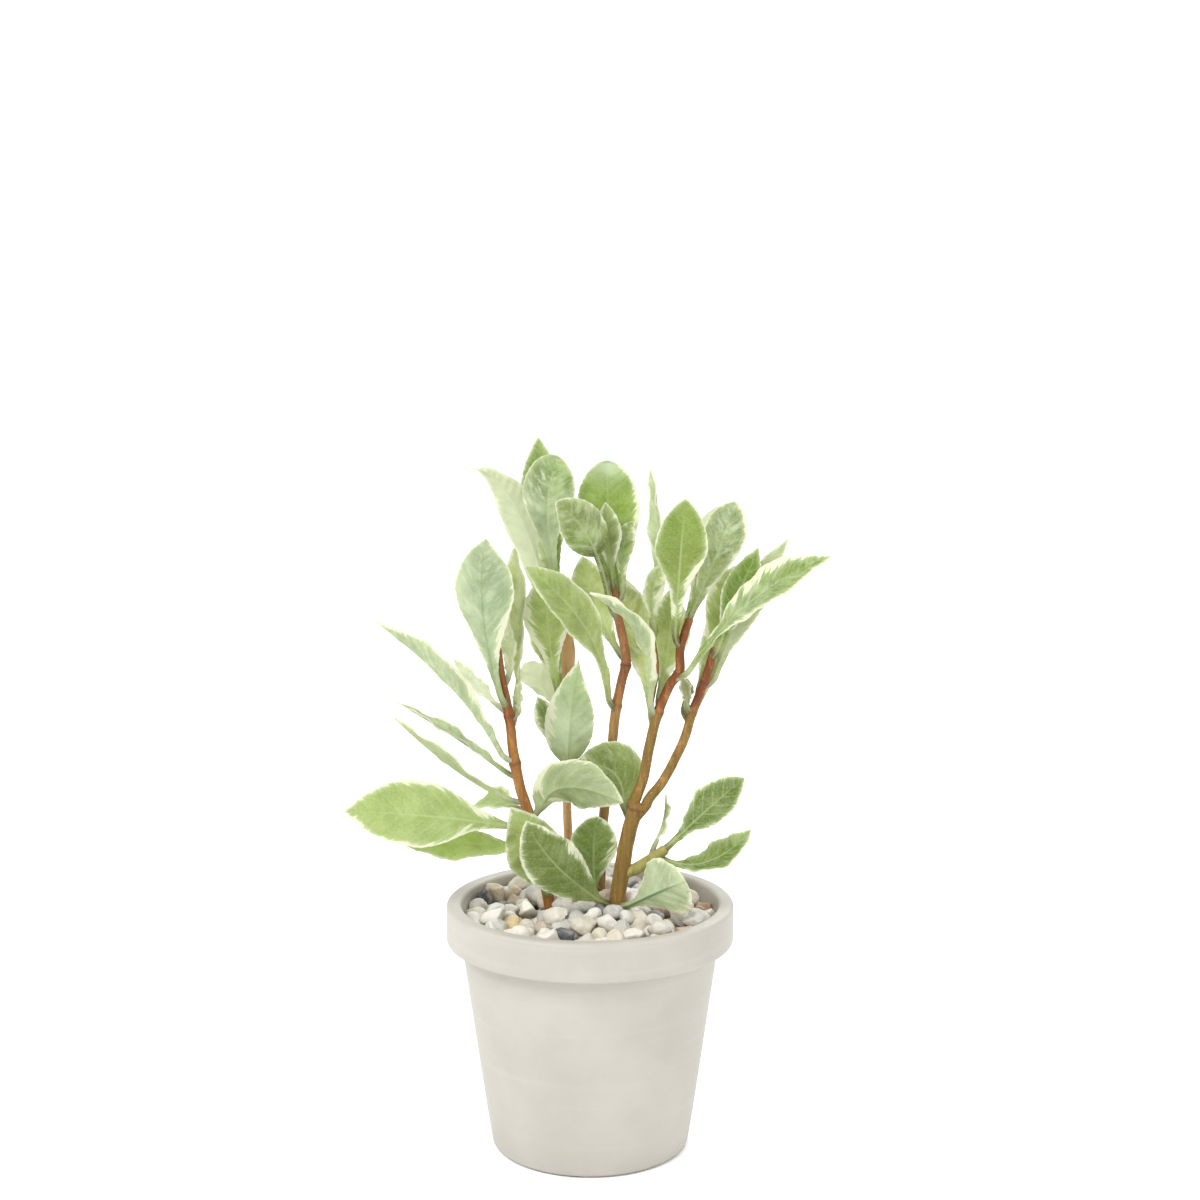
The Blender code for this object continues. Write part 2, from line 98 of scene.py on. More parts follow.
# The gravel
GRAVEL_Z = 43
STONE_FLOOR = 37
STONE_COUNT = 460
STONE_RADII = (1.25, 2.1)
STONE_DROP_HEIGHTS = (38, 50)
STONE_SINKING = [0.12] * 200 + [0.03] * 60
STONE_HARD_SHARE = 0.9
STONE_PLANES = 9
STONE_ROUNDING = 30
STONE_ROUGHNESS = 0.05
STONE_WAVES = ((1, 3), (0.6, 6), (0.4, 11))
STONE_TILT = 0.45
FINE_PERCENTILE = 68
CORE_SIDES = 64

# The stems
STEM_SIDES = 24
STEM_STEP = 0.45
ROOT_Z = 36
ROOT_SHARES = (0.66, 0.33, 0)
DOME_ANGLES = (30, 55, 75, 88)
NODE_SWELL = 0.16
NODE_SPREAD = 0.9
SCAR_SWELL = 0.07
SCAR_REACH = 0.3
GROOVE_DEPTH = 0.05
GROOVE_REACH = 0.25
GROOVE_RISE = 0.6
RIB_SWELL = 0.025
LUMP_SWELL = 0.015

# The leaves
STALK_HALF_WIDTH = 0.6
STALK_THICKNESS = 0.95
JOINT_LENGTH = 1.8
JOINT_RINGS = 9
JOINT_DEPTH = 0.8
LEAF_STEP = 0.36
LEAF_LEAST_RINGS = 24
LEAF_END = 0.998
LEAF_HALF_COUNT = 13
MIDRIB_THICKNESS = 0.34
MIDRIB_REACH = 0.3
MARGIN_THICKNESS = 0.16
EDGE_WAVE = 0.3
LEAF_TWIST = 7
TOOTH_PITCH = 1.5
TOOTH_DEPTH = 0.16
VEIN_PITCH = 2.3
VEIN_SLOPE = 0.8
VEIN_CURVE = 0.05
VEIN_RELIEF = 0.06

# Colours as they look on a screen, 0 to 255
CREAM = (229, 230, 207)
PALE_GREEN = (196, 210, 164)
MARBLE = (216, 224, 198)
VEIN = (198, 212, 160)
RIB_DARK = (112, 134, 88)
DARK_GREEN = (84, 104, 24)
UNDER_GREEN = (196, 208, 168)
STALK_GREEN = (176, 184, 116)
STALK_DARK = (112, 112, 58)
AXIL_BROWN = (98, 58, 32)
TIP_GREY = (128, 132, 112)
COLOURS = {
    "deep": (128, 148, 76), "lush": (150, 168, 84), "bright": (172, 186, 104),
    "vivid": (140, 168, 68), "olive": (166, 178, 106), "yellow": (178, 186, 92),
    "grey": (162, 176, 130), "sea": (164, 182, 144), "pale": (198, 208, 164),
    "frost": (218, 227, 206), "white": (240, 243, 230), "green": (134, 164, 68),
    "sage": (132, 160, 118), "ash": (138, 142, 124), "brown": (128, 86, 50),
}
STEM_OCHRE = (116, 92, 38)
STEM_ORANGE = (136, 90, 40)
STEM_RED = (114, 62, 28)
STEM_PALE = (206, 168, 120)
STEM_GREEN = (140, 139, 78)
STREAK_PALE = (190, 142, 78)
STREAK_DARK = (84, 46, 20)
SPECK_PALE = (206, 140, 90)
SPECK_DARK = (84, 44, 22)
SCAR_BROWN = (80, 40, 22)
STONES = (
    (0.44, (214, 210, 199)), (0.20, (202, 194, 175)), (0.16, (186, 184, 176)),
    (0.06, (182, 166, 140)), (0.01, (172, 138, 108)), (0.03, (190, 170, 118)),
    (0.02, (180, 158, 142)), (0.05, (116, 115, 112)), (0.03, (62, 63, 68)),
)
QUARTZ_WHITE = (232, 230, 224)
QUARTZ_TAN = (176, 164, 142)
QUARTZ_BROWN = (140, 128, 108)
CORE_GREY = (176, 168, 152)
POT_GREY = (166, 162, 153)
POT_PALE = (176, 172, 164)
POT_BAND = (184, 181, 174)
FLOOR_WHITE = (253, 253, 252)

# Painted shade: what is left of a stone's linear red, green and blue at its underside, where the stones
# around it shade it
STONE_DIRT = (0.36, 0.31, 0.24)


def stem(name, radii, points, nodes, tones, root=None, pale=0, bulge=None):
    """A stem as the solids have it, and its skin.

    Its leaves grow at the heights nodes. Its tone is tones[0] below the height tones[2] and tones[1]
    above, and turns within tones[3]; 0 is ochre, 0.5 orange-brown, 1 red-brown and -1 green. root is a
    point inside the stem that it grows from, pale is how far its skin is paled, and bulge is the height,
    reach and share of a thicker place.
    """
    points = np.array(points, float)
    return SimpleNamespace(**locals())


def leaf(name, on, at, via, tip, face, width, belly=0.6, fold=12, stalk=0.06, wing=0, taper=1.4, blunt=0.85,
         hue="olive", lift=0, margin=0.3, mottle=0.25, wash=0, dark=0.2, veins=0.22, rib=0.6, specks=0,
         spots=(), curls=()):
    """A leaf as the solids have it, and its looks.

    It grows on the stem on, at the height at or from the stem's top, through via to tip, with its upper
    side towards face. Its outline is widest at the share belly; wing, taper and blunt shape it
    below and above that. hue names its colour and lift is how much brighter it is, in screen steps, partly
    its own tone and partly painted light: leaves that sit in shade are made lighter and well lit ones
    darker.
    margin is how wide its cream rim is, mottle how far pale marbling covers the green, wash how far all
    of it is paled, dark how dark its stalk is, veins how clear its side veins are, rib how pale its
    midrib is (dark below 0) and specks how far dark specks cover it. Each of spots is (share of the
    length, side from -1 to 1, reach, what, amount): there cream reaches further in, marbling is added or
    the colour named turns up. Each of curls is (share, side, reach as a share, rise), and bends the edge
    towards the upper side.
    """
    via, tip, face = (np.array(value, float) for value in (via, tip, face))
    return SimpleNamespace(**locals())


STEMS = [
    stem("left_stem", (1.05, 0.8),
         [(-6.3, 0, ROOT_Z), (-7.5, 0, 45), (-11, -1, 61), (-12.5, -1, 66), (-13.7, -1, 72.5),
          (-14.3, -2, 79), (-15.6, -3, 86), (-16.3, -3.5, 91.5)],
         (61, 70.5, 79.5), (0.45, 0.8, 77, 6)),
    stem("back_stem", (0.85, 0.7),
         [(-2.6, 7, ROOT_Z), (-3.5, 7, 45), (-4.1, 7, 56), (-4.4, 7, 68), (-4.4, 8, 80),
          (-4, 8.5, 89), (-4.4, 9, 100.5)],
         (69, 80), (0.4, 0.3, 80, 8), pale=0.72, bulge=(88.5, 4, 0.8)),
    stem("middle_stem", (1, 0.8),
         [(1.6, 3, ROOT_Z), (1.8, 3, 46), (2.3, 3, 58), (3.6, 3, 69), (4.6, 3, 79), (5.8, 3.5, 85),
          (6.5, 4, 88), (6, 4, 92), (4.9, 4, 97), (4.3, 4, 101)],
         (80.3, 87.5), (0.15, 0.9, 80.5, 2), pale=0.14),
    stem("main_stem", (1.5, 1.35),
         [(4, -4, ROOT_Z), (4.6, -4, 44), (5.6, -4, 51), (6.4, -4, 56), (7.3, -4, 60), (8.2, -4, 63)],
         (63,), (0, 0.1, 58, 6)),
    stem("left_fork", (1, 0.72),
         [(7.6, -4, 63.6), (8.4, -4, 65.5), (9.6, -4, 69), (10.4, -4, 73.5), (11.9, -4.5, 80),
          (14.1, -5, 85.5), (15.8, -5, 88), (15.9, -5, 92), (17.4, -5, 97)],
         (80.5, 87.5), (0.05, 0.95, 81, 2.5), (7.6, -4, 61.2)),
    stem("right_fork", (0.95, 0.75),
         [(9.95, -4, 63.5), (10.7, -4, 65), (13, -4, 68), (15.2, -3.4, 72), (17, -3, 76),
          (18.2, -2, 80), (20.4, -1.4, 85.5), (22, -1, 91)],
         (80, 85.5), (0.05, 0.95, 80.5, 3), (8.4, -4, 61.4)),
    stem("foot_shoot", (1.1, 0.95),
         [(8.25, -4.3, 52), (9.6, -4.8, 53), (11.4, -5.4, 54.4), (13.2, -6, 55.9)],
         (), (-1, -1, 55, 1), (5.9, -4, 51)),
    stem("axil_shoot", (0.42, 0.36),
         [(10.7, -4.1, 81.4), (11.3, -3.3, 84), (11.9, -2.8, 88), (11.6, -2.6, 91), (10.9, -2.5, 95.4)],
         (), (0.8, 0.1, 88, 6), (11.9, -4.5, 80)),
]

# The stems in short
LEFT, BACK, MIDDLE, MAIN, LEFT_FORK, RIGHT_FORK, FOOT, AXIL = STEMS

LEAVES = [
    # On the left stem
    leaf("left_leaf_1", LEFT, 82, (-18.5, -6, 98.5), (-18, -6, 111.5), (0.3, 0.9, 0.2), 11.5,
         wing=0.15, taper=1.7, hue="sea", margin=0.2, mottle=0.45, rib=-0.3,
         spots=((0.6, 0.95, 6, "white", 0.95), (0.68, -0.6, 6.5, "sage", 1.3), (0.75, -0.5, 5, "ash", 0.3),
                (0.42, -1, 4.5, "cream", 1.2), (0.93, -0.8, 2.6, "ash", 1))),
    leaf("left_leaf_2", LEFT, 77.5, (-12.8, 2, 93.5), (-13.3, 3, 109), (-0.85, -0.55, 0.1), 7.6,
         belly=0.65, wing=0.3, taper=2.5, blunt=0.6, lift=28, wash=0.1, mottle=0.5),
    leaf("left_leaf_3", LEFT, 85.5, (-14.2, -1, 90.5), (-14.8, -1, 97), (-0.5, 0.8, 0.1), 3,
         hue="pale", lift=34, margin=0.5, mottle=0.6, wash=0.1),
    leaf("left_leaf_4", LEFT, 71.5, (-23.9, -4, 84.6), (-38, -6, 97.5), (0.6, 0.5, 0.6), 9, fold=18,
         blunt=1, hue="grey", lift=4, wash=0.15, margin=0.4, mottle=0.7),
    leaf("left_leaf_5", LEFT, 80, (-20.5, 8, 82.6), (-25.5, 14, 87), (0.25, -0.15, 0.97), 4,
         hue="frost", wash=0.2),
    leaf("left_leaf_6", LEFT, 68.5, (-24, 6, 73.6), (-35.5, 10, 79.5), (0.33, -0.03, 0.93), 6,
         blunt=1, hue="pale", lift=-18, margin=0.2),
    leaf("left_leaf_7", LEFT, 64, (-24.4, 2, 69), (-35.5, 4, 78), (0.3, 0.45, 0.8), 7, blunt=1,
         margin=0.15, wash=0.1),
    leaf("left_leaf_8", LEFT, 62, (-17, 4, 62.2), (-21, 7.5, 61), (0, -0.4, 0.9), 8, lift=32,
         wash=0.08),
    leaf("left_leaf_9", LEFT, 79.5, (-12.6, -1.5, 82), (-12.4, -1.2, 85.5), (-0.7, -0.6, 0.2), 2.4,
         stalk=0.14, hue="pale", lift=22, margin=0.15, wash=0.2),
    leaf("left_leaf_10", LEFT, 61, (-4.6, -2.5, 66.6), (6, -5.5, 64.4), (-0.2, 0.9, 0.3), 10.3,
         taper=0.55, hue="grey", mottle=0.35,
         spots=((0.5, 0, 14, "olive", 0.4), (0.22, 0.8, 3, "cream", 1.2), (0.22, -0.8, 3, "cream", 1.2))),
    # Round the foot of the plant
    leaf("foot_leaf_1", LEFT, 59, (-26.5, -4.2, 61.4), (-43.5, -6, 63), (-0.05, -0.85, 0.5), 12.5,
         belly=0.63, taper=1.1, hue="bright", lift=-2, wash=0.1, margin=0.45, mottle=0.1, veins=0.25,
         spots=((0.36, -1, 5.5, "cream", 1),), curls=((0.3, -1, 0.14, 1),)),
    leaf("foot_leaf_2", LEFT, 54.5, (-22.5, -1.5, 55.8), (-33, -3.5, 56), (0, -0.7, 0.7), 8,
         taper=1.1, blunt=1, hue="bright", lift=34, mottle=0.15),
    leaf("foot_leaf_3", MAIN, 45.7, (-5.8, -10, 54.2), (-11, -13, 63), (0, -1, 0), 9.9, belly=0.54,
         taper=0.9, hue="deep", mottle=0.05, spots=((0.5, 1, 2.2, "cream", 2),)),
    leaf("foot_leaf_4", LEFT, 46.7, (-9.3, -5, 54.5), (-14, -7, 64), (0, -1, 0.1), 10.5, belly=0.54,
         taper=1, hue="lush", lift=36),
    leaf("foot_leaf_5", MIDDLE, 46.2, (0.6, 0, 53.5), (1.2, -0.8, 60.8), (0, -1, 0.1), 8.8,
         belly=0.62, taper=1, blunt=0.55, hue="deep", lift=4, margin=0.42, mottle=0.05,
         spots=((0.5, 1, 5, "cream", 0.5),)),
    leaf("foot_leaf_6", MAIN, 45.5, (11.6, -12, 49.8), (16.6, -15.2, 52.9), (0.35, 0.9, 0.1), 11.4,
         belly=0.64, blunt=0.5, hue="pale", rib=-0.9, veins=0.5, mottle=0.6,
         spots=((0.6, 0, 8, "frost", 0.45), (0.72, -0.8, 5, "cream", 0.9))),
    leaf("foot_leaf_7", FOOT, None, (20, -5.5, 62.3), (27.5, -4, 68.5), (-0.43, -0.75, 0.5), 8,
         wing=0.2, taper=2, blunt=0.7, hue="deep", lift=-20, margin=0.2, mottle=0.12, veins=0.4),
    leaf("foot_leaf_8", FOOT, 55.2, (21.5, -8.5, 54.7), (28.5, -8, 60.3), (-0.1, -0.45, 0.9), 6.9,
         taper=1, blunt=1, hue="lush", lift=-30, margin=0.12),
    leaf("foot_leaf_9", FOOT, 54.4, (13.2, -2, 59.5), (13.7, 0.5, 64.5), (1, 0.2, 0), 3.5,
         hue="pale", lift=-8),
    # On the back stem and the main stem below its fork
    leaf("back_leaf_1", BACK, 98.8, (-8, 13.2, 113), (-9.5, 13.5, 128), (0, -1, 0.1), 8.5, blunt=0.9,
         hue="lush", lift=3, margin=0.15, spots=((0.75, -0.6, 4, "grey", 0.5),)),
    leaf("back_leaf_2", BACK, 99.3, (-7.6, 4.7, 114.5), (-5.6, 5.5, 125), (0.05, -1, 0.1), 9.5,
         belly=0.67, blunt=0.5, hue="grey", lift=8, margin=0.12,
         spots=((0.87, 0.5, 4, "green", 0.6), (0.72, -0.6, 4.5, "marble", 0.9), (0.3, 0, 6, "frost", 0.55),
                (0.55, -0.8, 4, "frost", 0.4))),
    # Its wash is partly its own paleness and partly painted light: the glow of its underside where light
    # shines through it
    leaf("back_leaf_3", BACK, 91, (-12.8, 9, 114.5), (-21, 4, 123), (0.1, 0.95, 0.3), 7.5,
         belly=0.42, taper=1, blunt=1.6, hue="frost", lift=6, wash=0.42, mottle=0.5,
         spots=((0.8, 0, 6, "olive", 0.35), (1, 0, 3, "ash", 0.5))),
    leaf("back_leaf_4", BACK, None, (-7.6, 7, 106), (-9, 6.3, 110.5), (0, -1, 0.1), 2.4, stalk=0.14,
         hue="pale", lift=24, wash=0.1),
    leaf("back_leaf_5", BACK, 80, (-7.4, 4, 93), (-7.6, 3, 104.5), (0, -1, 0.05), 8.8, belly=0.63,
         wing=0.25, taper=2.2, hue="bright", lift=14, margin=0.25,
         spots=((0.6, -1, 6, "cream", 0.8), (0.45, 0, 6, "yellow", 0.4))),
    leaf("back_leaf_6", BACK, 78, (-9.5, 12, 83), (-12.5, 14, 86), (0.2, -0.6, 0.8), 7,
         hue="frost", lift=16, wash=0.65),
    leaf("back_leaf_7", BACK, 70.5, (-7.5, 6, 76), (-9.5, 5, 81.5), (0, -1, 0.2), 4.5, hue="deep"),
    leaf("back_leaf_8", BACK, 68, (-3.6, 3, 78.5), (-2, 1.5, 89), (0, 1, 0.15), 8.8, belly=0.39,
         taper=0.8, blunt=1.1, hue="sea", lift=22,
         spots=((0.4, 1, 4, "cream", 1.4), (0.45, 0.6, 3.5, "frost", 0.9), (0.3, -0.6, 4, "frost", 0.5),
                (0.74, -0.1, 5, "green", 0.5))),
    leaf("back_leaf_9", BACK, 82, (-7, 13, 89), (-8, 19, 97), (0, -0.8, 0.6), 8),
    leaf("main_leaf_1", MAIN, 61.5, (4.4, -0.8, 68.6), (-2.5, 0.5, 70.2), (0, -0.95, 0.25), 11,
         belly=0.5, hue="deep", lift=8, margin=0.15, mottle=0.1,
         spots=((0.78, -0.12, 1.9, "cream", 2), (0.72, -0.1, 2.6, "marble", 0.5))),
    # On the middle stem
    leaf("middle_leaf_1", MIDDLE, 97, (0.4, 1, 109.6), (-6, -2, 117.5), (0, -0.9, 0.4), 8.2,
         belly=0.47, stalk=0.42, taper=0.6, blunt=0.7, margin=0.15, mottle=0.45, dark=0.9,
         spots=((0.7, 0.4, 4, "grey", 0.6), (0.5, -0.5, 4, "green", 0.5))),
    # The frost spot at its tip is a painted highlight: the glare on its upper side near the tip
    leaf("middle_leaf_2", MIDDLE, 98.5, (3.5, 7, 112.5), (3, 7, 124.2), (0.05, -1, 0.05), 11.3,
         taper=1, blunt=0.5, hue="vivid", lift=14, margin=0.2, mottle=0.1, veins=0.12,
         spots=((1, 0, 4.2, "frost", 0.85), (0.5, 1, 7, "cream", 0.5))),
    leaf("middle_leaf_3", MIDDLE, None, (3.4, 3.8, 109.5), (2.8, 3.6, 117), (0, -1, 0.1), 5, fold=40,
         stalk=0.14, lift=6, margin=0.35),
    leaf("middle_leaf_4", MIDDLE, 99.5, (6, 4.8, 108.5), (8, 5, 113.5), (0, -1, 0.2), 3.8,
         hue="bright", lift=8, mottle=0.6, specks=0.3),
    leaf("middle_leaf_5", MIDDLE, 89, (1.2, 11.8, 97), (-1.5, 15, 106), (0.1, -0.9, 0.4), 8,
         hue="bright", lift=24, wash=0.1),
    leaf("middle_leaf_6", MIDDLE, 80.3, (-0.5, -2.5, 94.6), (-11.5, -4, 106.5), (0.3, -0.75, 0.6), 9,
         belly=0.63, wing=0.25, taper=2.5, hue="bright", lift=12, wash=0.08, margin=0.15, mottle=0.2,
         veins=0.12, spots=((0.5, 0, 12, "olive", 0.5), (0.84, 0.1, 8, "green", 0.55))),
    # On the left fork and the thin shoot in its axil
    leaf("fork_leaf_1", LEFT_FORK, 78.6, (9.3, 7.5, 90), (5.5, 10.5, 103), (0.1, -0.9, 0.3), 8, wing=0.3,
         taper=2.2, hue="bright", lift=18, margin=0.45, mottle=0.7, wash=0.05),
    leaf("fork_leaf_2", LEFT_FORK, 80.5, (9, -8, 94), (0, -9, 102.5), (0.7, 0.4, 0.6), 7, fold=15,
         blunt=1, hue="grey", wash=0.1, margin=0.5, mottle=0.5),
    leaf("fork_leaf_3", LEFT_FORK, 82, (14, 0, 92), (14, 1, 101.5), (0, -1, 0.05), 7.5, hue="lush",
         lift=34, spots=((0.6, -1, 6, "cream", 0.5),)),
    leaf("fork_leaf_4", LEFT_FORK, 93, (15.6, -8, 107.2), (16.5, -8.5, 118.7), (0, -1, 0.1), 9.3,
         stalk=0.03, wing=0.35, taper=4, blunt=0.75, hue="bright", lift=-19, margin=0.15, mottle=0.05,
         dark=0.9, veins=0.12,
         spots=((0.45, 0.9, 2.2, "cream", 1), (0.18, -1, 3, "cream", 0.6), (0.8, -0.3, 7, "green", 0.5))),
    leaf("fork_leaf_5", LEFT_FORK, None, (22, -2, 107.5), (25.5, -1, 117.5), (-0.1, -1, 0.1), 8.2,
         belly=0.68, wing=0.5, taper=1, blunt=0.6, hue="grey", lift=2, mottle=0.65, specks=0.3,
         spots=((0.35, 0, 6, "yellow", 0.5),)),
    leaf("fork_leaf_6", LEFT_FORK, 94.5, (20.5, 2.3, 107), (24, 3, 116.7), (0, -1, 0.1), 7, belly=0.65,
         hue="lush", margin=0.5),
    leaf("fork_leaf_7", LEFT_FORK, 87.5, (27.4, -9.5, 100.5), (41.5, -11, 109), (-0.55, -0.45, 0.65), 9.5,
         belly=0.62, wing=0.2, taper=1.8, blunt=1, hue="lush", lift=-14, margin=0.16, mottle=0.45,
         spots=((0.6, -1, 8, "cream", 1.15), (0.5, 0.8, 6, "frost", 0.45))),
    leaf("shoot_leaf_1", AXIL, None, (12.1, -1, 110), (10.7, 2, 123), (-0.95, -0.3, 0.1), 6.5,
         hue="pale", lift=8, mottle=0.8),
    leaf("shoot_leaf_2", AXIL, 94, (11, -4.3, 101.5), (12.7, -5, 107), (0.3, -0.9, 0.2), 4, lift=20,
         margin=0.5, mottle=0.6),
    # On the right fork
    leaf("right_leaf_1", RIGHT_FORK, 90.5, (25.6, -3.8, 100.2), (29.5, -4.5, 110), (0.1, -1, 0.1), 6.4,
         blunt=1.1, hue="vivid", lift=-24, margin=0.08, mottle=0.1),
    leaf("right_leaf_2", RIGHT_FORK, 83.5, (24.2, 4.6, 97), (26.5, 6.5, 105.4), (-0.2, -1, 0), 7.6,
         belly=0.55, wing=0.2, taper=2, hue="lush", lift=38, margin=0.42),
    leaf("right_leaf_3", RIGHT_FORK, 85.5, (27.2, 1, 97.6), (35.5, 2, 111), (0.45, 0.85, 0.1), 6,
         blunt=1.2, hue="pale", lift=-30, margin=0.12, wash=0.1),
    leaf("right_leaf_4", RIGHT_FORK, 80.5, (17, -3, 83.5), (16, -3.2, 86.8), (0.5, -0.8, 0.2), 2.4,
         stalk=0.14, dark=0.8, lift=-14, margin=0.1, spots=((0.35, 0, 3, "brown", 0.9),)),
    leaf("right_leaf_5", RIGHT_FORK, 79.2, (17.3, -0.6, 83), (17.2, -0.6, 86), (0.5, -0.8, 0.2), 2.2,
         stalk=0.14, dark=0.8, lift=-14, margin=0.1, spots=((0.35, 0, 3, "brown", 0.9),)),
    leaf("right_leaf_6", RIGHT_FORK, 79, (22.5, 9.5, 88), (25, 16, 99), (-0.1, -0.8, 0.5), 6),
]

def linear(colour):
    """A screen colour, 0 to 255, as the linear red, green, blue and alpha that shaders use."""
    share = np.array(colour, float) / 255
    made = np.where(share <= 0.04045, share / 12.92, ((share + 0.055) / 1.055) ** 2.4)
    return np.array([*made, 1])


class Graph:
    """A material and its nodes, with one short call for each kind of node."""

    def __init__(self, name):
        self.material = bpy.data.materials.new(name)
        self.material.use_nodes = True
        self.tree = self.material.node_tree
        self.surface = self.tree.nodes["Principled BSDF"]

    def node(self, kind, inputs=(), **settings):
        made = self.tree.nodes.new("ShaderNode" + kind)
        for key, value in settings.items():
            setattr(made, key, value)
        for key, value in dict(inputs).items():
            self.feed(made.inputs[key], value)
        return made

    def feed(self, socket, value):
        """Links another node's output to a socket, or sets the socket to a screen colour or a number."""
        if isinstance(value, bpy.types.NodeSocket):
            self.tree.links.new(value, socket)
        else:
            socket.default_value = tuple(linear(value)) if socket.type == "RGBA" else value

    def set(self, **values):
        for key, value in values.items():
            self.feed(self.surface.inputs[key.replace("_", " ")], value)

    def math(self, operation, a, b=0, c=0):
        made = self.node("Math", operation=operation)
        for socket, value in zip(made.inputs, (a, b, c)):
            self.feed(socket, value)
        return made.outputs[0]

    def total(self, *values):
        made = values[0]
        for value in values[1:]:
            made = self.math("ADD", made, value)
        return made

    def times(self, a, b):
        return self.math("MULTIPLY", a, b)

    def mix(self, factor, a, b):
        made = self.node("Mix", data_type="RGBA")
        for socket, value in zip((made.inputs[0], made.inputs[6], made.inputs[7]), (factor, a, b)):
            self.feed(socket, value)
        return made.outputs[2]

    def step(self, value, low, high, from_value=0, to_value=1):
        """A smooth climb from from_value at low to to_value at high."""
        made = self.node("MapRange", interpolation_type="SMOOTHSTEP")
        for socket, number in zip(made.inputs, (value, low, high, from_value, to_value)):
            self.feed(socket, number)
        return made.outputs[0]

    def paint(self, colour, share, *coats):
        """The colour under coats of (pattern, low, high, amount, colour), each thinned to the share."""
        for pattern, low, high, amount, over in coats:
            cover = self.times(self.step(pattern, low, high, 0, amount), share)
            colour = self.mix(cover, colour, over)
        return colour

    def vector(self, x, y, z):
        return self.node("CombineXYZ", {"X": x, "Y": y, "Z": z}).outputs[0]

    def stretch(self, vector, scales):
        return self.node("VectorMath", {0: vector, 1: scales}, operation="MULTIPLY").outputs[0]

    def noise(self, vector, scale=1, detail=2, roughness=0.5):
        inputs = {"Vector": vector, "Scale": scale, "Detail": detail, "Roughness": roughness}
        return self.node("TexNoise", inputs).outputs["Fac"]

    def read(self, name):
        """The three numbers of a mesh's own attribute."""
        attribute = self.node("Attribute", attribute_name=name).outputs["Vector"]
        return self.node("SeparateXYZ", {"Vector": attribute}).outputs[:3]

    def colour(self, name):
        return self.node("Attribute", attribute_name=name).outputs["Color"]

    def bump(self, height, distance):
        inputs = {"Height": height, "Distance": distance * MM, "Strength": 1}
        self.feed(self.surface.inputs["Normal"], self.node("Bump", inputs).outputs[0])

    def glow(self, share, colour):
        """Lets a share of the light through, tinted."""
        through = self.node("BsdfTranslucent", {"Color": colour})
        both = self.node("MixShader", {0: share, 1: self.surface.outputs[0], 2: through.outputs[0]})
        self.tree.links.new(both.outputs[0], self.tree.nodes["Material Output"].inputs["Surface"])


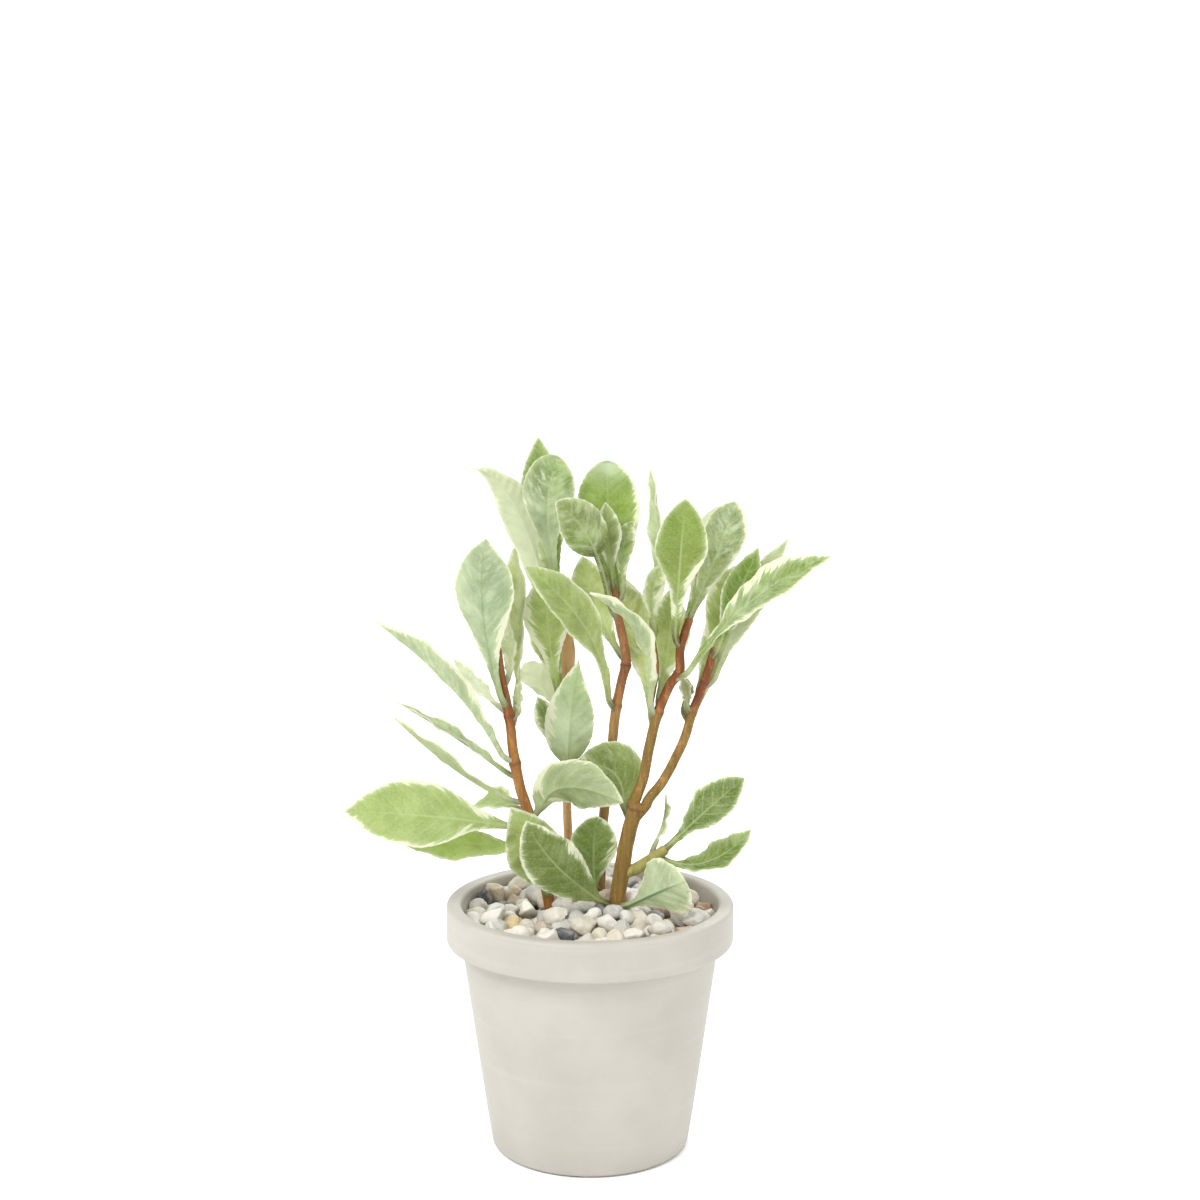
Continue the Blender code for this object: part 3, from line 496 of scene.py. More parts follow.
def leaf_material(name, upper):
    """Green inside a thin ragged cream rim. The side veins are faint lines that run from the midrib
    towards the tip, and the rim's small teeth and the marbling follow them."""
    g = Graph(name)
    x, y, seed = g.read("leaf_at")
    inward, share, patch = g.read("leaf_rim")
    margin, mottle, wash = g.read("leaf_look")
    veins, ribbed, specked = g.read("leaf_more")
    away = g.math("ABSOLUTE", x)
    sown = g.math("MULTIPLY_ADD", g.math("SIGN", x), 3.7, seed)
    climb = g.total(g.times(away, VEIN_SLOPE), g.times(g.times(away, away), VEIN_CURVE))
    vein_at = g.math("SUBTRACT", y, climb)

    def along_veins(across, outward, shift=0, **settings):
        """Noise with its own scale across the side veins and along them."""
        seeded = g.math("ADD", sown, shift)
        return g.noise(g.vector(g.times(vein_at, across), g.times(away, outward), seeded), **settings)

    broad = along_veins(0.2, 0.1, detail=1)
    fingers = along_veins(1.1, 0.25, detail=3, roughness=0.6)
    barbs = along_veins(3.2, 1.1, detail=3, roughness=0.6)
    uneven_rim = g.total(g.step(broad, 0.36, 0.66, 0.35, 1.7), g.step(fingers, 0.5, 0.68, 0, 1.5))
    blotch = g.times(patch, g.step(fingers, 0.34, 0.62, 0.15, 1.6))
    rim = g.total(g.times(margin, uneven_rim), blotch, g.times(g.math("SUBTRACT", barbs, 0.5), 0.8))
    edge = g.math("SUBTRACT", rim, inward)

    place = g.vector(x, y, seed)
    clouds = g.noise(place, scale=0.3, detail=3)
    marble = along_veins(0.75, 0.5, shift=11, detail=5, roughness=0.66)
    feathers = along_veins(2.2, 0.4, shift=5, detail=3)
    cells = g.noise(place, scale=2.6, detail=3, roughness=0.6)
    dots = g.noise(place, scale=1.9, detail=2)
    mesh = g.node("TexVoronoi", {"Vector": place, "Scale": 1.25}, feature="DISTANCE_TO_EDGE")
    net = g.step(mesh.outputs["Distance"], 0, 0.1, 1, 0)
    ripple = g.math("PINGPONG", vein_at, VEIN_PITCH / 2)
    line = g.times(g.step(ripple, 0, 0.24, 1, 0), g.step(cells, 0.3, 0.55))
    midrib = g.times(g.step(away, 0.08, 0.3, 1, 0), g.step(share, 0.5, 0.95, 1, 0.15))

    own = g.colour("leaf_green")
    body = g.paint(
        own, g.step(mottle, 0.1, 0.35, 0.45, 1),
        (clouds, 0.4, 0.7, 0.42, DARK_GREEN),
        (clouds, 0.52, 0.25, 0.5, PALE_GREEN),
        (feathers, 0.48, 0.72, 0.2, PALE_GREEN),
        (feathers, 0.45, 0.25, 0.18, DARK_GREEN),
    )
    body = g.paint(body, 1, (cells, 0.5, 0.7, 0.24, PALE_GREEN), (cells, 0.48, 0.28, 0.22, DARK_GREEN))
    if upper:
        body = g.mix(g.times(net, g.times(veins, 0.35)), body, VEIN)
        body = g.mix(g.times(line, veins), body, VEIN)
        rib = g.mix(0.8, own, VEIN)
    else:
        body = g.mix(0.45, body, UNDER_GREEN)
        body = g.mix(g.times(line, veins), body, own)
        body = g.mix(g.times(net, 0.08), body, CREAM)
        rib = g.mix(0.5, UNDER_GREEN, own)
    body = g.paint(body, mottle, (marble, 0.43, 0.68, 1, MARBLE))
    body = g.paint(body, specked, (dots, 0.55, 0.7, 1, DARK_GREEN))
    colour = g.paint(body, 1, (edge, -1, 0, 0.5, PALE_GREEN), (edge, -0.22, 0.16, 1, CREAM))
    colour = g.mix(g.times(midrib, g.math("MAXIMUM", ribbed, 0)), colour, rib)
    colour = g.mix(g.times(midrib, g.math("MAXIMUM", g.times(ribbed, -1), 0)), colour, RIB_DARK)
    colour = g.mix(wash, colour, CREAM)

    g.set(Base_Color=colour, Roughness=g.step(cells, 0.2, 0.8, 0.44, 0.6), Specular_IOR_Level=0.3)
    relief = g.total(g.times(cells, 0.35), g.times(ripple, 0.45 if upper else -0.35), g.times(clouds, 0.5))
    g.bump(relief, 0.08)
    g.glow(0.45, colour)
    return g.material


def stem_material():
    """Ochre to red-brown skin with fine streaks along it, small specks and dark scars. Its patterns run in
    the object's own metres."""
    g = Graph("stem_skin")
    tone, scar, pale = g.read("stem_at")
    place = g.node("TexCoord").outputs["Object"]
    streaks = g.noise(g.stretch(place, (1500, 1500, 140)), detail=3)
    blotches = g.noise(place, scale=380, detail=3)
    specks = g.noise(place, scale=1700, detail=2)
    shifted = g.total(tone, g.times(g.math("SUBTRACT", blotches, 0.5), 0.5))
    colour = g.mix(g.step(shifted, 0, 0.5), STEM_OCHRE, STEM_ORANGE)
    colour = g.mix(g.step(shifted, 0.45, 1), colour, STEM_RED)
    colour = g.mix(g.step(tone, -0.6, -0.1, 1, 0), colour, STEM_GREEN)
    colour = g.mix(pale, colour, STEM_PALE)
    colour = g.paint(
        colour, 1,
        (streaks, 0.48, 0.75, 0.4, STREAK_PALE),
        (streaks, 0.47, 0.25, 0.5, STREAK_DARK),
        (specks, 0.6, 0.75, 0.45, SPECK_DARK),
        (specks, 0.36, 0.28, 0.4, SPECK_PALE),
    )
    colour = g.mix(g.times(scar, 0.6), colour, SCAR_BROWN)
    g.set(Base_Color=colour, Roughness=g.step(blotches, 0.2, 0.8, 0.38, 0.55), Specular_IOR_Level=0.3)
    g.set(Subsurface_Weight=0.08, Subsurface_Radius=(1, 0.5, 0.2), Subsurface_Scale=0.4 * MM)
    g.bump(g.total(g.times(streaks, 0.7), g.times(specks, 0.3)), 0.14)
    return g.material


def stone_material():
    """Quartz in each stone's own colour, clouded and grained."""
    g = Graph("quartz")
    own = g.colour("stone_colour")
    place = g.vector(*g.read("stone_at"))
    clouds = g.noise(place, scale=0.45, detail=4, roughness=0.6)
    grain = g.noise(place, scale=2.4, detail=4, roughness=0.65)
    pits = g.noise(place, scale=7, detail=2)
    colour = g.paint(
        own, 1,
        (clouds, 0.4, 0.65, 0.6, g.mix(0.5, own, QUARTZ_WHITE)),
        (clouds, 0.45, 0.25, 0.5, g.mix(0.5, own, QUARTZ_TAN)),
        (grain, 0.54, 0.78, 0.5, g.mix(0.5, own, QUARTZ_BROWN)),
    )
    g.set(Base_Color=colour, Roughness=g.step(grain, 0.2, 0.8, 0.4, 0.65), Specular_IOR_Level=0.5)
    g.set(Subsurface_Weight=0.1, Subsurface_Radius=(1, 0.95, 0.85), Subsurface_Scale=0.6 * MM)
    g.bump(g.total(g.times(grain, 0.7), g.times(pits, 0.3)), 0.25)
    return g.material


def pot_material():
    """Matt pale grey plastic with a fine grain and faint turned bands, in the object's own metres."""
    g = Graph("pot_plastic")
    place = g.node("TexCoord").outputs["Object"]
    grain = g.noise(place, scale=2600, detail=2)
    clouds = g.noise(place, scale=60, detail=4, roughness=0.6)
    around = g.noise(g.stretch(place, (30, 30, 900)))
    colour = g.mix(g.step(clouds, 0.3, 0.75), POT_GREY, POT_PALE)
    colour = g.paint(colour, 1, (around, 0.5, 0.8, 0.25, POT_BAND))
    g.set(Base_Color=colour, Roughness=g.step(clouds, 0.3, 0.7, 0.45, 0.58), Specular_IOR_Level=0.4)
    g.bump(g.total(g.times(grain, 0.6), g.times(around, 0.4)), 0.05)
    return g.material


def add_object(name, data):
    made = bpy.data.objects.new(name, data)
    bpy.context.scene.collection.objects.link(made)
    return made


def add_mesh(name, points, faces, materials, attributes, slots=None):
    """A smooth mesh object from points in millimetres. Each attribute is (name, rows of 3 numbers, or of
    4 for a colour)."""
    mesh = bpy.data.meshes.new(name)
    mesh.from_pydata((np.asarray(points) * MM).tolist(), [], faces)
    for material in materials:
        mesh.materials.append(material)
    if slots is not None:
        mesh.polygons.foreach_set("material_index", np.asarray(slots, np.int32))
    for label, rows in attributes:
        rows = np.asarray(rows, np.float32)
        kind, key = ("FLOAT_COLOR", "color") if rows.shape[1] == 4 else ("FLOAT_VECTOR", "vector")
        mesh.attributes.new(label, kind, "POINT").data.foreach_set(key, rows.ravel())
    mesh.shade_smooth()
    mesh.update()
    return add_object(name, mesh)


def dress(piece, slot, node):
    """The piece rides with the plant and stands for the node, whose solid is hidden; slot is not used."""
    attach(piece, "root")
    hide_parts(node)


def tube_faces(ring_count, side_count):
    """Outward faces of a closed tube of rings, each running anticlockwise seen from the last ring."""
    faces = [tuple(reversed(range(side_count)))]
    for low in range(0, (ring_count - 1) * side_count, side_count):
        high = low + side_count
        for j in range(side_count):
            k = (j + 1) % side_count
            faces.append((low + j, low + k, high + k, high + j))
    faces.append(tuple(range(high, high + side_count)))
    return faces


def unit(vectors):
    vectors = np.asarray(vectors, float)
    return vectors / np.linalg.norm(vectors, axis=-1, keepdims=True)


def smooth(share):
    share = np.clip(share, 0, 1)
    return share * share * (3 - 2 * share)


def hump(distance, reach):
    return np.exp(-((distance / reach) ** 2))


def along(points, share):
    """A point of the smooth curve through the points, from share 0 at the first to 1 at the last."""
    spans = len(points) - 1
    i = min(int(share * spans), spans - 1)
    u = share * spans - i
    a, b = points[i], points[i + 1]
    before = points[i - 1] if i > 0 else 2 * a - b
    after = points[i + 2] if i + 2 <= spans else 2 * b - a
    return 0.5 * (
        2 * a
        + (b - before) * u
        + (2 * before - 5 * a + 4 * b - after) * u * u
        + (3 * a - before - 3 * b + after) * u * u * u
    )


def stem_direction(points, share):
    step = 0.01
    return unit(along(points, min(share + step, 1)) - along(points, max(share - step, 0)))


def share_at_height(points, z):
    low, high = 0, 1
    for _ in range(40):
        middle = (low + high) / 2
        if along(points, middle)[2] < z:
            low = middle
        else:
            high = middle
    return (low + high) / 2


def stem_radius(row, share):
    z = along(row.points, share)[2]
    swell = sum(hump(z - node, NODE_SPREAD) for node in row.nodes)
    return (row.radii[0] + (row.radii[1] - row.radii[0]) * share) * (1 + NODE_SWELL * swell)


def make_stem(row, material, rng):
    """A fine tube with a scar round each node, faint ribs and a domed top."""
    length = np.linalg.norm(np.diff(row.points, axis=0), axis=1).sum()
    count = round(length / STEM_STEP)
    rings = [(along(row.points, share), stem_direction(row.points, share), stem_radius(row, share))
             for share in np.arange(count + 1) / count]
    if row.root is not None:
        foot, _, radius = rings[0]
        for share in ROOT_SHARES:
            bent = row.root + (foot - row.root) * share
            rings.insert(0, (bent, unit(foot - row.root), radius * (0.85 + 0.15 * share)))
    top, forward, radius = rings[-1]
    for angle in np.radians(DOME_ANGLES):
        rings.append((top + forward * radius * 0.8 * sin(angle), forward, radius * cos(angle)))
    phase = rng.uniform(0, tau, 3)
    low, high, turn, spread = row.tones
    points, data = [], []
    for middle, forward, radius in rings:
        side = unit(np.cross((0, 1, 0), forward))
        other = np.cross(forward, side)
        z = middle[2]
        if row.bulge is not None:
            at, reach, share = row.bulge
            radius = radius * (1 + share * hump(z - at, reach))
        scar = sum(hump(z - node, SCAR_REACH) for node in row.nodes)
        groove = sum(hump(z - node - GROOVE_RISE, GROOVE_REACH) for node in row.nodes)
        tone = low + (high - low) * smooth((z - turn) / spread + 0.5)
        for angle in tau * np.arange(STEM_SIDES) / STEM_SIDES:
            ribs = RIB_SWELL * cos(4 * angle + phase[0])
            lumps = sin(2 * angle + 0.5 * z + phase[1]) + sin(1.7 * z + 3 * angle + phase[2])
            swell = ribs + LUMP_SWELL * lumps + SCAR_SWELL * scar - GROOVE_DEPTH * groove
            points.append(middle + (side * cos(angle) + other * sin(angle)) * radius * (1 + swell))
            data.append((tone, min(1, scar), row.pale))
    piece = add_mesh(f"{row.name}_skin", points, tube_faces(len(rings), STEM_SIDES), [material],
                     [("stem_at", data)])
    dress(piece, "stem", row.name)


def leaf_half_width(row, t):
    u = np.clip((t - row.stalk) / (1 - row.stalk), 0, 1)
    power = log(0.5) / log(row.belly)
    swell = np.clip(np.sin(np.pi * u**power), 0, 1)
    low = row.wing * u / row.belly + (1 - row.wing) * swell**row.taper
    swell = np.where(u < row.belly, low, swell**row.blunt)
    blade = STALK_HALF_WIDTH * (1 - u) + (row.width / 2 - STALK_HALF_WIDTH * 0.5) * swell
    return np.where(t <= row.stalk, STALK_HALF_WIDTH, blade)


def leaf_curve(start, row, t):
    """The midrib's points and directions: one bend from the stem through via to the tip."""
    pull = 2 * row.via - (start + row.tip) / 2
    t = t[:, None]
    points = start * (1 - t) ** 2 + pull * 2 * t * (1 - t) + row.tip * t * t
    return points, unit((pull - start) * (1 - t) + (row.tip - pull) * t)


def leaf_start(row):
    """Where the solid's stalk begins and the way it leaves the stem, then the stem's middle there, its
    direction and its radius."""
    points = row.on.points
    share = 1 if row.at is None else share_at_height(points, row.at)
    middle, climb, radius = along(points, share), stem_direction(points, share), stem_radius(row.on, share)
    if row.at is None:
        outward, surface = climb, middle
    else:
        outward = row.via - middle
        outward = unit(outward - outward @ climb * climb)
        surface = middle + outward * radius
    return surface + outward * (GAP + STALK_HALF_WIDTH), outward, middle, climb, radius


def leaf_line(row, length):
    """The rings' places, directions, shares of the length and shares of the joint, which is 1 in the
    middle of the stem and 0 where the solid's own line takes over. The joint bends out of the stem."""
    start, outward, middle, climb, _ = leaf_start(row)
    join = min(JOINT_LENGTH / length, 0.15)
    count = max(LEAF_LEAST_RINGS, round(length / LEAF_STEP))
    t = np.linspace(join, LEAF_END, count)
    points, forward = leaf_curve(start, row, t)
    root = middle - climb * JOINT_DEPTH
    leave = climb if row.at is None else unit(outward + 0.5 * climb)
    reach = np.linalg.norm(points[0] - root)
    s = np.linspace(0, 1, JOINT_RINGS, endpoint=False)[:, None]
    first, last = reach * leave, reach * forward[0]
    bend = (2 * s**3 - 3 * s**2 + 1) * root + (s**3 - 2 * s**2 + s) * first
    bend = bend + (3 * s**2 - 2 * s**3) * points[0] + (s**3 - s**2) * last
    turn = (6 * s**2 - 6 * s) * (root - points[0])
    turn = turn + (3 * s**2 - 4 * s + 1) * first + (3 * s**2 - 2 * s) * last
    joint = np.concatenate([1 - s[:, 0], np.zeros(count)])
    shares = np.concatenate([join * s[:, 0], t])
    return np.vstack([bend, points]), np.vstack([unit(turn), forward]), shares, joint


def make_leaf(row, number, materials, rng):
    """A thin blade with a fine grid on both sides, waved and toothed edges, quilting between its side
    veins, and a midrib that stands out below. Its stalk grows out of the stem."""
    start, _, _, _, stem_reach = leaf_start(row)
    length = np.linalg.norm(row.via - start) + np.linalg.norm(row.tip - row.via)
    middle, forward, t, joint = leaf_line(row, length)
    up = unit(row.face - (forward @ row.face)[:, None] * forward)
    side = np.cross(forward, up)
    half = leaf_half_width(row, t)
    half = half + (min(0.75, 0.8 * stem_reach) - half) * smooth(joint)

    # The grid: v runs from -1 at the left edge to 1 at the right one, closer at the edges and the midrib
    spread = np.linspace(-1, 1, 2 * LEAF_HALF_COUNT + 1)
    v = np.sign(spread) * (1 - np.cos(np.pi * np.abs(spread))) / 2
    edge_side = np.sign(v)[None, :]
    far = np.abs(v)[None, :]
    along_mm = (t * length)[:, None]
    x = half[:, None] * v[None, :]
    blade = smooth((t - row.stalk) / 0.2)[:, None]
    fade = blade * np.clip((1 - t) / 0.12, 0, 1)[:, None]

    # The teeth, waves and quilting
    phases = rng.uniform(0, tau, 5)
    side_phase = np.where(v < 0, phases[0], phases[1])[None, :]
    swing = rng.uniform(0.28, 0.42) * length
    pitch = TOOTH_PITCH * rng.uniform(0.85, 1.15)
    tooth = np.mod(along_mm / pitch + side_phase, 1)
    x_made = x + edge_side * TOOTH_DEPTH * (tooth - 0.5) * far**8 * fade
    raised = half[:, None] * sin(radians(row.fold)) * (0.5 * far + 0.5 * far**2)
    waves = far**2 * np.sin(tau * along_mm / swing + side_phase)
    waves = waves + 0.5 * far**3 * np.sin(tau * along_mm / (0.45 * swing) + phases[2])
    vein_at = along_mm - VEIN_SLOPE * np.abs(x) - VEIN_CURVE * x**2
    quilt = -VEIN_RELIEF * np.cos(tau * vein_at / VEIN_PITCH) * np.clip(3 * far * (1 - far), 0, 1)
    twist = radians(rng.uniform(-LEAF_TWIST, LEAF_TWIST)) * t[:, None]
    height = raised + (EDGE_WAVE * waves + quilt) * fade + twist * x
    for at, where, reach, rise in row.curls:
        bent = hump(t[:, None] - at, reach) * far**3 * (edge_side == np.sign(where))
        height = height + rise * bent
        x_made = x_made - edge_side * 0.5 * abs(rise) * bent

    # The thickness, with a groove over the midrib and a ridge below it, and a round stalk
    rib = hump(x, MIDRIB_REACH)
    thick = MARGIN_THICKNESS + (MIDRIB_THICKNESS - MARGIN_THICKNESS) * (1 - far)
    stalk = STALK_THICKNESS * np.sqrt(np.clip(1 - far**2, 0.03, 1)) * (1 - blade)
    ridge = (0.34 * (1 - t) + 0.05)[:, None]
    above = (0.5 * thick - 0.1 * rib * fade) * blade + 0.45 * stalk
    below = (0.5 * thick + ridge * rib) * blade + 0.55 * stalk
    base = middle[:, None, :] + side[:, None, :] * x_made[..., None]
    top = base + up[:, None, :] * (height + above)[..., None]
    bottom = base + up[:, None, :] * (height - below)[..., None]
    points = np.concatenate([top, bottom[:, ::-1]], axis=1)

    # The looks: the leaf's green, partly its own tone and partly painted light, its spots, its stalk and its
    # tip
    green = linear(np.clip(np.array(COLOURS[row.hue]) + row.lift, 0, 255))
    green = np.tile(green * [*rng.uniform(0.95, 1.05, 3), 1], (len(t), len(v), 1))
    patch = np.zeros_like(x)
    mottle = np.full_like(x, row.mottle)
    for at, where, reach, what, amount in row.spots:
        near = amount * hump(along_mm - at * length, reach) * hump(x - where * half[:, None], reach)
        if what == "cream":
            patch += near
        elif what == "marble":
            mottle += near
        else:
            green += (linear(COLOURS[what]) - green) * np.clip(near, 0, 1)[..., None]
    stalk_green = linear(STALK_GREEN) * (1 - row.dark) + linear(STALK_DARK) * row.dark
    for colour, amount in (
        (stalk_green, 1 - smooth((t - row.stalk) / 0.16)),
        (linear(AXIL_BROWN), 0.85 * smooth(1.6 * joint)),
        (linear(TIP_GREY), 0.6 * smooth((t - 0.965) / 0.03)),
    ):
        green += (colour - green) * amount[:, None, None]
    share = np.clip((t - row.stalk) / (1 - row.stalk), 0, 1)[:, None]
    inward = half[:, None] * (1 - far) + 2.5 * (1 - blade)
    attributes = []
    for label, parts in (
        ("leaf_at", (x, along_mm, 7.3 * number)),
        ("leaf_rim", (inward, share, patch)),
        ("leaf_look", (row.margin, np.clip(mottle, 0, 1), row.wash)),
        ("leaf_more", (row.veins, row.rib, row.specks)),
        ("leaf_green", np.moveaxis(green, -1, 0)),
    ):
        rows = np.stack([np.broadcast_to(part, x.shape) for part in parts], axis=-1)
        both = np.concatenate([rows, rows[:, ::-1]], axis=1)
        attributes.append((label, both.reshape(-1, len(parts))))

    ring_count, sides = len(t), 2 * len(v)
    around = [0 if j < len(v) - 1 else 1 for j in range(sides)]
    slots = [0] + around * (ring_count - 1) + [0]
    piece = add_mesh(f"{row.name}_blade", points.reshape(-1, 3), tube_faces(ring_count, sides), materials,
                     attributes, slots)
    dress(piece, "leaf", row.name)


def outer_wall(z):
    return POT_BASE_RADIUS + (POT_WALL_TOP_RADIUS - POT_BASE_RADIUS) * z / POT_HEIGHT


def inner_wall(z):
    return outer_wall(z) - POT_WALL


def corner(r, z, radius, first, last, steps=6):
    """An arc round (r, z) from one angle to another, in degrees."""
    return [(r + radius * cos(a), z + radius * sin(a))
            for a in np.radians(np.linspace(first, last, steps))]


def make_pot(material):
    """A turned cup with rounded edges and a rim band, cut by the drain holes."""
    band = POT_HEIGHT - RIM_HEIGHT
    outline = [(0, 0), (10, 0), (POT_BASE_RADIUS - 2.4, 0)]
    outline += corner(POT_BASE_RADIUS - EDGE_ROUND, EDGE_ROUND, EDGE_ROUND, -90, -10)
    outline += [(outer_wall(z), z) for z in (6, 14, 22, 30, band - 0.9)]
    outline += corner(outer_wall(band) + 0.35, band - 0.35, 0.35, 180, 90, 4)
    outline += corner(RIM_RADIUS - 0.5, band + 0.5, 0.5, -90, 0)
    outline += [(RIM_RADIUS, band + 2.4), (RIM_RADIUS, POT_HEIGHT - 2)]
    outline += corner(RIM_RADIUS - EDGE_ROUND, POT_HEIGHT - EDGE_ROUND, EDGE_ROUND, 0, 90)
    outline += corner(inner_wall(POT_HEIGHT) + EDGE_ROUND, POT_HEIGHT - EDGE_ROUND, EDGE_ROUND, 90, 180)
    outline += [(inner_wall(z), z) for z in (40, 30, 18, 8)]
    outline += corner(inner_wall(POT_FLOOR) - EDGE_ROUND, POT_FLOOR + EDGE_ROUND, EDGE_ROUND, 0, -90, 4)
    outline += [(10, POT_FLOOR), (0, POT_FLOOR)]

    mesh = bmesh.new()
    line = [mesh.verts.new((r * MM, 0, z * MM)) for r, z in outline]
    edges = [mesh.edges.new(pair) for pair in zip(line, line[1:])]
    bmesh.ops.spin(mesh, geom=line + edges, cent=(0, 0, 0), axis=(0, 0, 1), angle=tau,
                   steps=POT_SIDES, use_merge=True)
    bmesh.ops.remove_doubles(mesh, verts=mesh.verts, dist=0.01 * MM)
    bmesh.ops.recalc_face_normals(mesh, faces=mesh.faces)
    made = bpy.data.meshes.new("pot_shell")
    mesh.to_mesh(made)
    mesh.free()
    made.materials.append(material)
    shell = add_object("pot_shell", made)

    cutters = []
    for angle in tau * np.arange(DRAIN_COUNT) / DRAIN_COUNT:
        place = (DRAIN_CIRCLE * cos(angle) * MM, DRAIN_CIRCLE * sin(angle) * MM, 0)
        bpy.ops.mesh.primitive_cylinder_add(vertices=40, radius=DRAIN_RADIUS * MM, depth=3 * POT_FLOOR * MM,
                                            location=place)
        cutters.append(bpy.context.object)
        cut = shell.modifiers.new("drain", "BOOLEAN")
        cut.operation = "DIFFERENCE"
        cut.solver = "EXACT"
        cut.object = cutters[-1]
    bpy.context.view_layer.update()
    finished = bpy.data.meshes.new_from_object(shell.evaluated_get(bpy.context.evaluated_depsgraph_get()))
    shell.modifiers.clear()
    shell.data = finished
    for cutter in cutters:
        bpy.data.objects.remove(cutter)
    finished.shade_smooth()
    finished.set_sharp_from_angle(angle=SHARP_ANGLE)
    dress(shell, "pot", "pot")


def settle_stones(rng):
    """Lets round stones sink and push each other apart inside the pot, clear of the stems."""
    radii = rng.uniform(*STONE_RADII, STONE_COUNT)
    angle = rng.uniform(0, tau, STONE_COUNT)
    out = (inner_wall(GRAVEL_Z) - 2) * np.sqrt(rng.uniform(0, 1, STONE_COUNT))
    heights = rng.uniform(*STONE_DROP_HEIGHTS, STONE_COUNT)
    places = np.stack([out * np.cos(angle), out * np.sin(angle), heights], axis=1)
    posts = [(along(row.points, share_at_height(row.points, GRAVEL_Z))[:2], row.radii[0])
             for row in STEMS if row.points[0][2] == ROOT_Z]
    for sinking in STONE_SINKING:
        places[:, 2] -= sinking
        for _ in range(2):
            gap = places[:, None, :] - places[None, :, :]
            distance = np.linalg.norm(gap, axis=2) + 1e-9
            overlap = STONE_HARD_SHARE * (radii[:, None] + radii[None, :]) - distance
            np.fill_diagonal(overlap, 0)
            push = np.clip(overlap, 0, None)[..., None] * gap / distance[..., None]
            places += 0.45 * push.sum(axis=1)
            for post, thick in posts:
                flat = places[:, :2] - post
                near = np.linalg.norm(flat, axis=1)
                short = np.clip(0.85 * radii + thick - near, 0, None)
                places[:, :2] += flat / near[:, None] * short[:, None]
            from_axis = np.linalg.norm(places[:, :2], axis=1)
            over = np.clip(from_axis - (inner_wall(places[:, 2]) - STONE_HARD_SHARE * radii), 0, None)
            places[:, :2] -= places[:, :2] / from_axis[:, None] * over[:, None]
            places[:, 2] = np.maximum(places[:, 2], STONE_FLOOR + radii)
    return places, radii


def stone_shape(directions, rng):
    """How far a broken, many-sided stone of radius about 1 reaches in each direction."""
    normals = unit(rng.normal(size=(STONE_PLANES, 3)))
    distances = rng.uniform(0.7, 1.1, STONE_PLANES)
    facing = np.clip(directions @ normals.T / distances, 0, None)
    reach = (facing**STONE_ROUNDING).sum(axis=1) ** (-1 / STONE_ROUNDING)
    reach = np.clip(reach, 0.6, 1.25)
    for strength, pitch in STONE_WAVES:
        turns = rng.normal(size=(3, 3)) * pitch
        waves = np.sin(directions @ turns + rng.uniform(0, tau, 3))
        reach = reach * (1 + STONE_ROUGHNESS * strength * waves.prod(axis=1))
    return reach


def sphere(steps):
    mesh = bmesh.new()
    bmesh.ops.create_icosphere(mesh, subdivisions=steps, radius=1)
    points = np.array([vertex.co for vertex in mesh.verts])
    faces = np.array([[vertex.index for vertex in face.verts] for face in mesh.faces])
    mesh.free()
    return points, faces


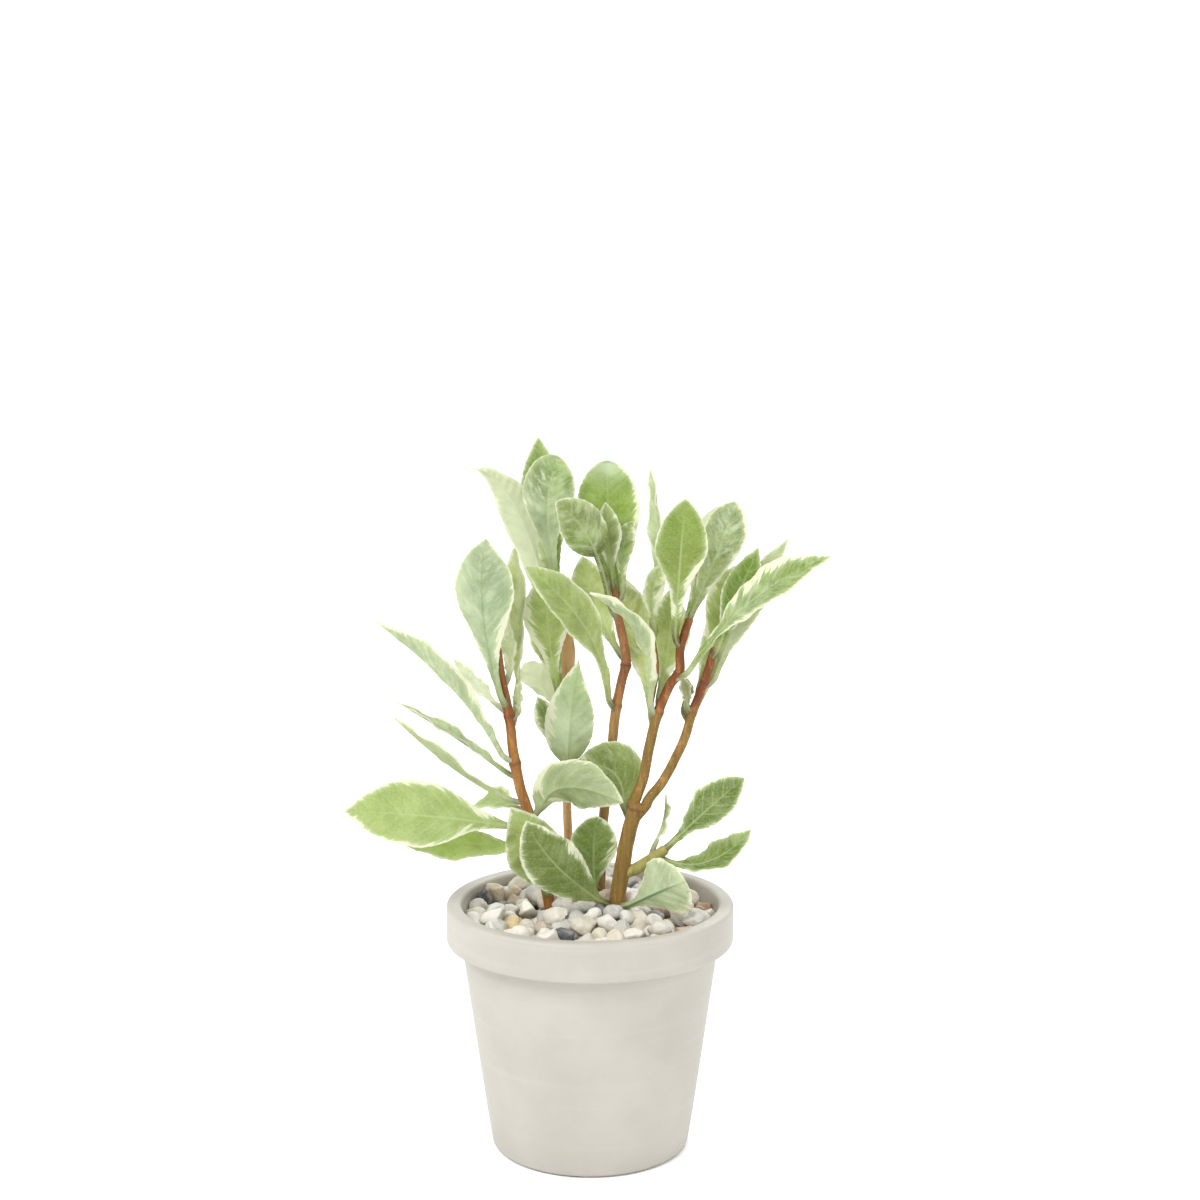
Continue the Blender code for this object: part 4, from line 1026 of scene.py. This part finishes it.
def make_gravel(material, rng):
    """Settled stones of many shapes, with painted shade darkening the underside of each. Those near the top
    are finer meshes, and a plain core fills the pot below them."""
    places, radii = settle_stones(rng)
    weights = np.array([weight for weight, _ in STONES])
    fine_above = np.percentile(places[:, 2], FINE_PERCENTILE)
    meshes = {True: sphere(4), False: sphere(3)}
    parts = {True: [[], [], [], []], False: [[], [], [], []]}
    for i in range(STONE_COUNT):
        fine = places[i, 2] > fine_above
        directions, faces = meshes[fine]
        reach = stone_shape(directions, rng)
        stretch = np.array([rng.uniform(0.95, 1.25), rng.uniform(0.85, 1.05), rng.uniform(0.68, 0.9)])
        turn = np.linalg.qr(rng.normal(size=(3, 3)) * STONE_TILT + np.eye(3))[0]
        spin = rng.uniform(0, tau)
        c, s = cos(spin), sin(spin)
        about = np.array([[c, -s, 0], [s, c, 0], [0, 0, 1]])
        shape = (directions * reach[:, None] * stretch) @ turn.T @ about.T * radii[i]
        placed = shape + places[i]
        out = np.linalg.norm(placed[:, :2], axis=1)
        placed[:, :2] *= np.minimum(1, (inner_wall(placed[:, 2]) - 0.1) / out)[:, None]
        own = STONES[rng.choice(len(STONES), p=weights / weights.sum())][1]
        own = linear(np.clip(np.array(own) * rng.uniform(0.93, 1.04), 0, 255))
        # Painted shade: each stone turns darker towards its underside, where the stones around it shade it
        dirt = smooth(0.45 - shape[:, 2] / radii[i])[:, None]
        colours = own * (1 - dirt + dirt * [*STONE_DIRT, 1])
        offset = sum(len(part) for part in parts[fine][0])
        for part, rows in zip(parts[fine], (placed, faces + offset, colours, shape + 17 * i)):
            part.append(rows)
    for fine, name in ((True, "gravel_top"), (False, "gravel_bed")):
        points, faces, colours, ats = (np.vstack(part) for part in parts[fine])
        piece = add_mesh(name, points, faces.tolist(), [material],
                         [("stone_at", ats), ("stone_colour", colours)])
        dress(piece, "gravel", "gravel")

    angles = tau * np.arange(CORE_SIDES) / CORE_SIDES
    heights = (POT_FLOOR + GAP, 12, 24, STONE_FLOOR + 1.6)
    ring = np.stack([np.cos(angles), np.sin(angles), np.zeros(CORE_SIDES)], axis=1)
    points = np.vstack([ring * (inner_wall(z) - GAP) + [0, 0, z] for z in heights])
    colours = np.tile(linear(CORE_GREY), (len(points), 1))
    core = add_mesh("gravel_core", points, tube_faces(len(heights), CORE_SIDES), [material],
                    [("stone_at", points), ("stone_colour", colours)])
    core.data.set_sharp_from_angle(angle=SHARP_ANGLE)
    dress(core, "gravel", "gravel")


def make_stage():
    white = Graph("floor")
    white.set(Base_Color=FLOOR_WHITE, Roughness=0.8, Specular_IOR_Level=0.1)
    bpy.ops.mesh.primitive_plane_add(size=FLOOR_SIZE, location=(0, 0, FLOOR_Z))
    floor = bpy.context.object
    floor.name = "floor"
    floor.data.materials.append(white.material)
    floor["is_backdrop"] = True


def make_lights():
    """A white world and soft square lights that look at the middle of the plant."""
    scene = bpy.context.scene
    scene.world = bpy.data.worlds.new("studio")
    scene.world.use_nodes = True
    background = scene.world.node_tree.nodes["Background"]
    background.inputs["Color"].default_value = (1, 1, 1, 1)
    background.inputs["Strength"].default_value = WORLD_STRENGTH
    for name, place, size, power in LIGHTS:
        data = bpy.data.lights.new(name, "AREA")
        data.shape = "SQUARE"
        data.size = size
        data.energy = power
        lamp = add_object(name, data)
        lamp.location = place
        x, y, z = unit(np.array(LIGHT_AIM) - place)
        lamp.rotation_euler = (acos(-z), 0, atan2(y, x) - tau / 4)
    scene.view_settings.view_transform = "Standard"
    scene.view_settings.look = "None"


def make_camera():
    data = bpy.data.cameras.new("camera")
    data.lens = CAMERA_LENS
    data.sensor_width = 36
    data.clip_start = 0.01
    camera = add_object("camera", data)
    camera.location = np.array(CAMERA_AT) * MM
    camera.rotation_euler = (radians(90 - CAMERA_PITCH), 0, 0)
    bpy.context.scene.camera = camera


make_camera()
make_lights()
make_stage()
make_pot(pot_material())
make_gravel(stone_material(), np.random.default_rng(SEED))
skin = stem_material()
stem_rng = np.random.default_rng(SEED + 1)
for stem_row in STEMS:
    make_stem(stem_row, skin, stem_rng)
leaf_sides = [leaf_material("leaf_upper", True), leaf_material("leaf_lower", False)]
leaf_rng = np.random.default_rng(SEED + 2)
for leaf_number, leaf_row in enumerate(LEAVES):
    make_leaf(leaf_row, leaf_number, leaf_sides, leaf_rng)

sizes = {"cad": [list(corner) for corner in cad_box], "visual": [list(corner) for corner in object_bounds()]}
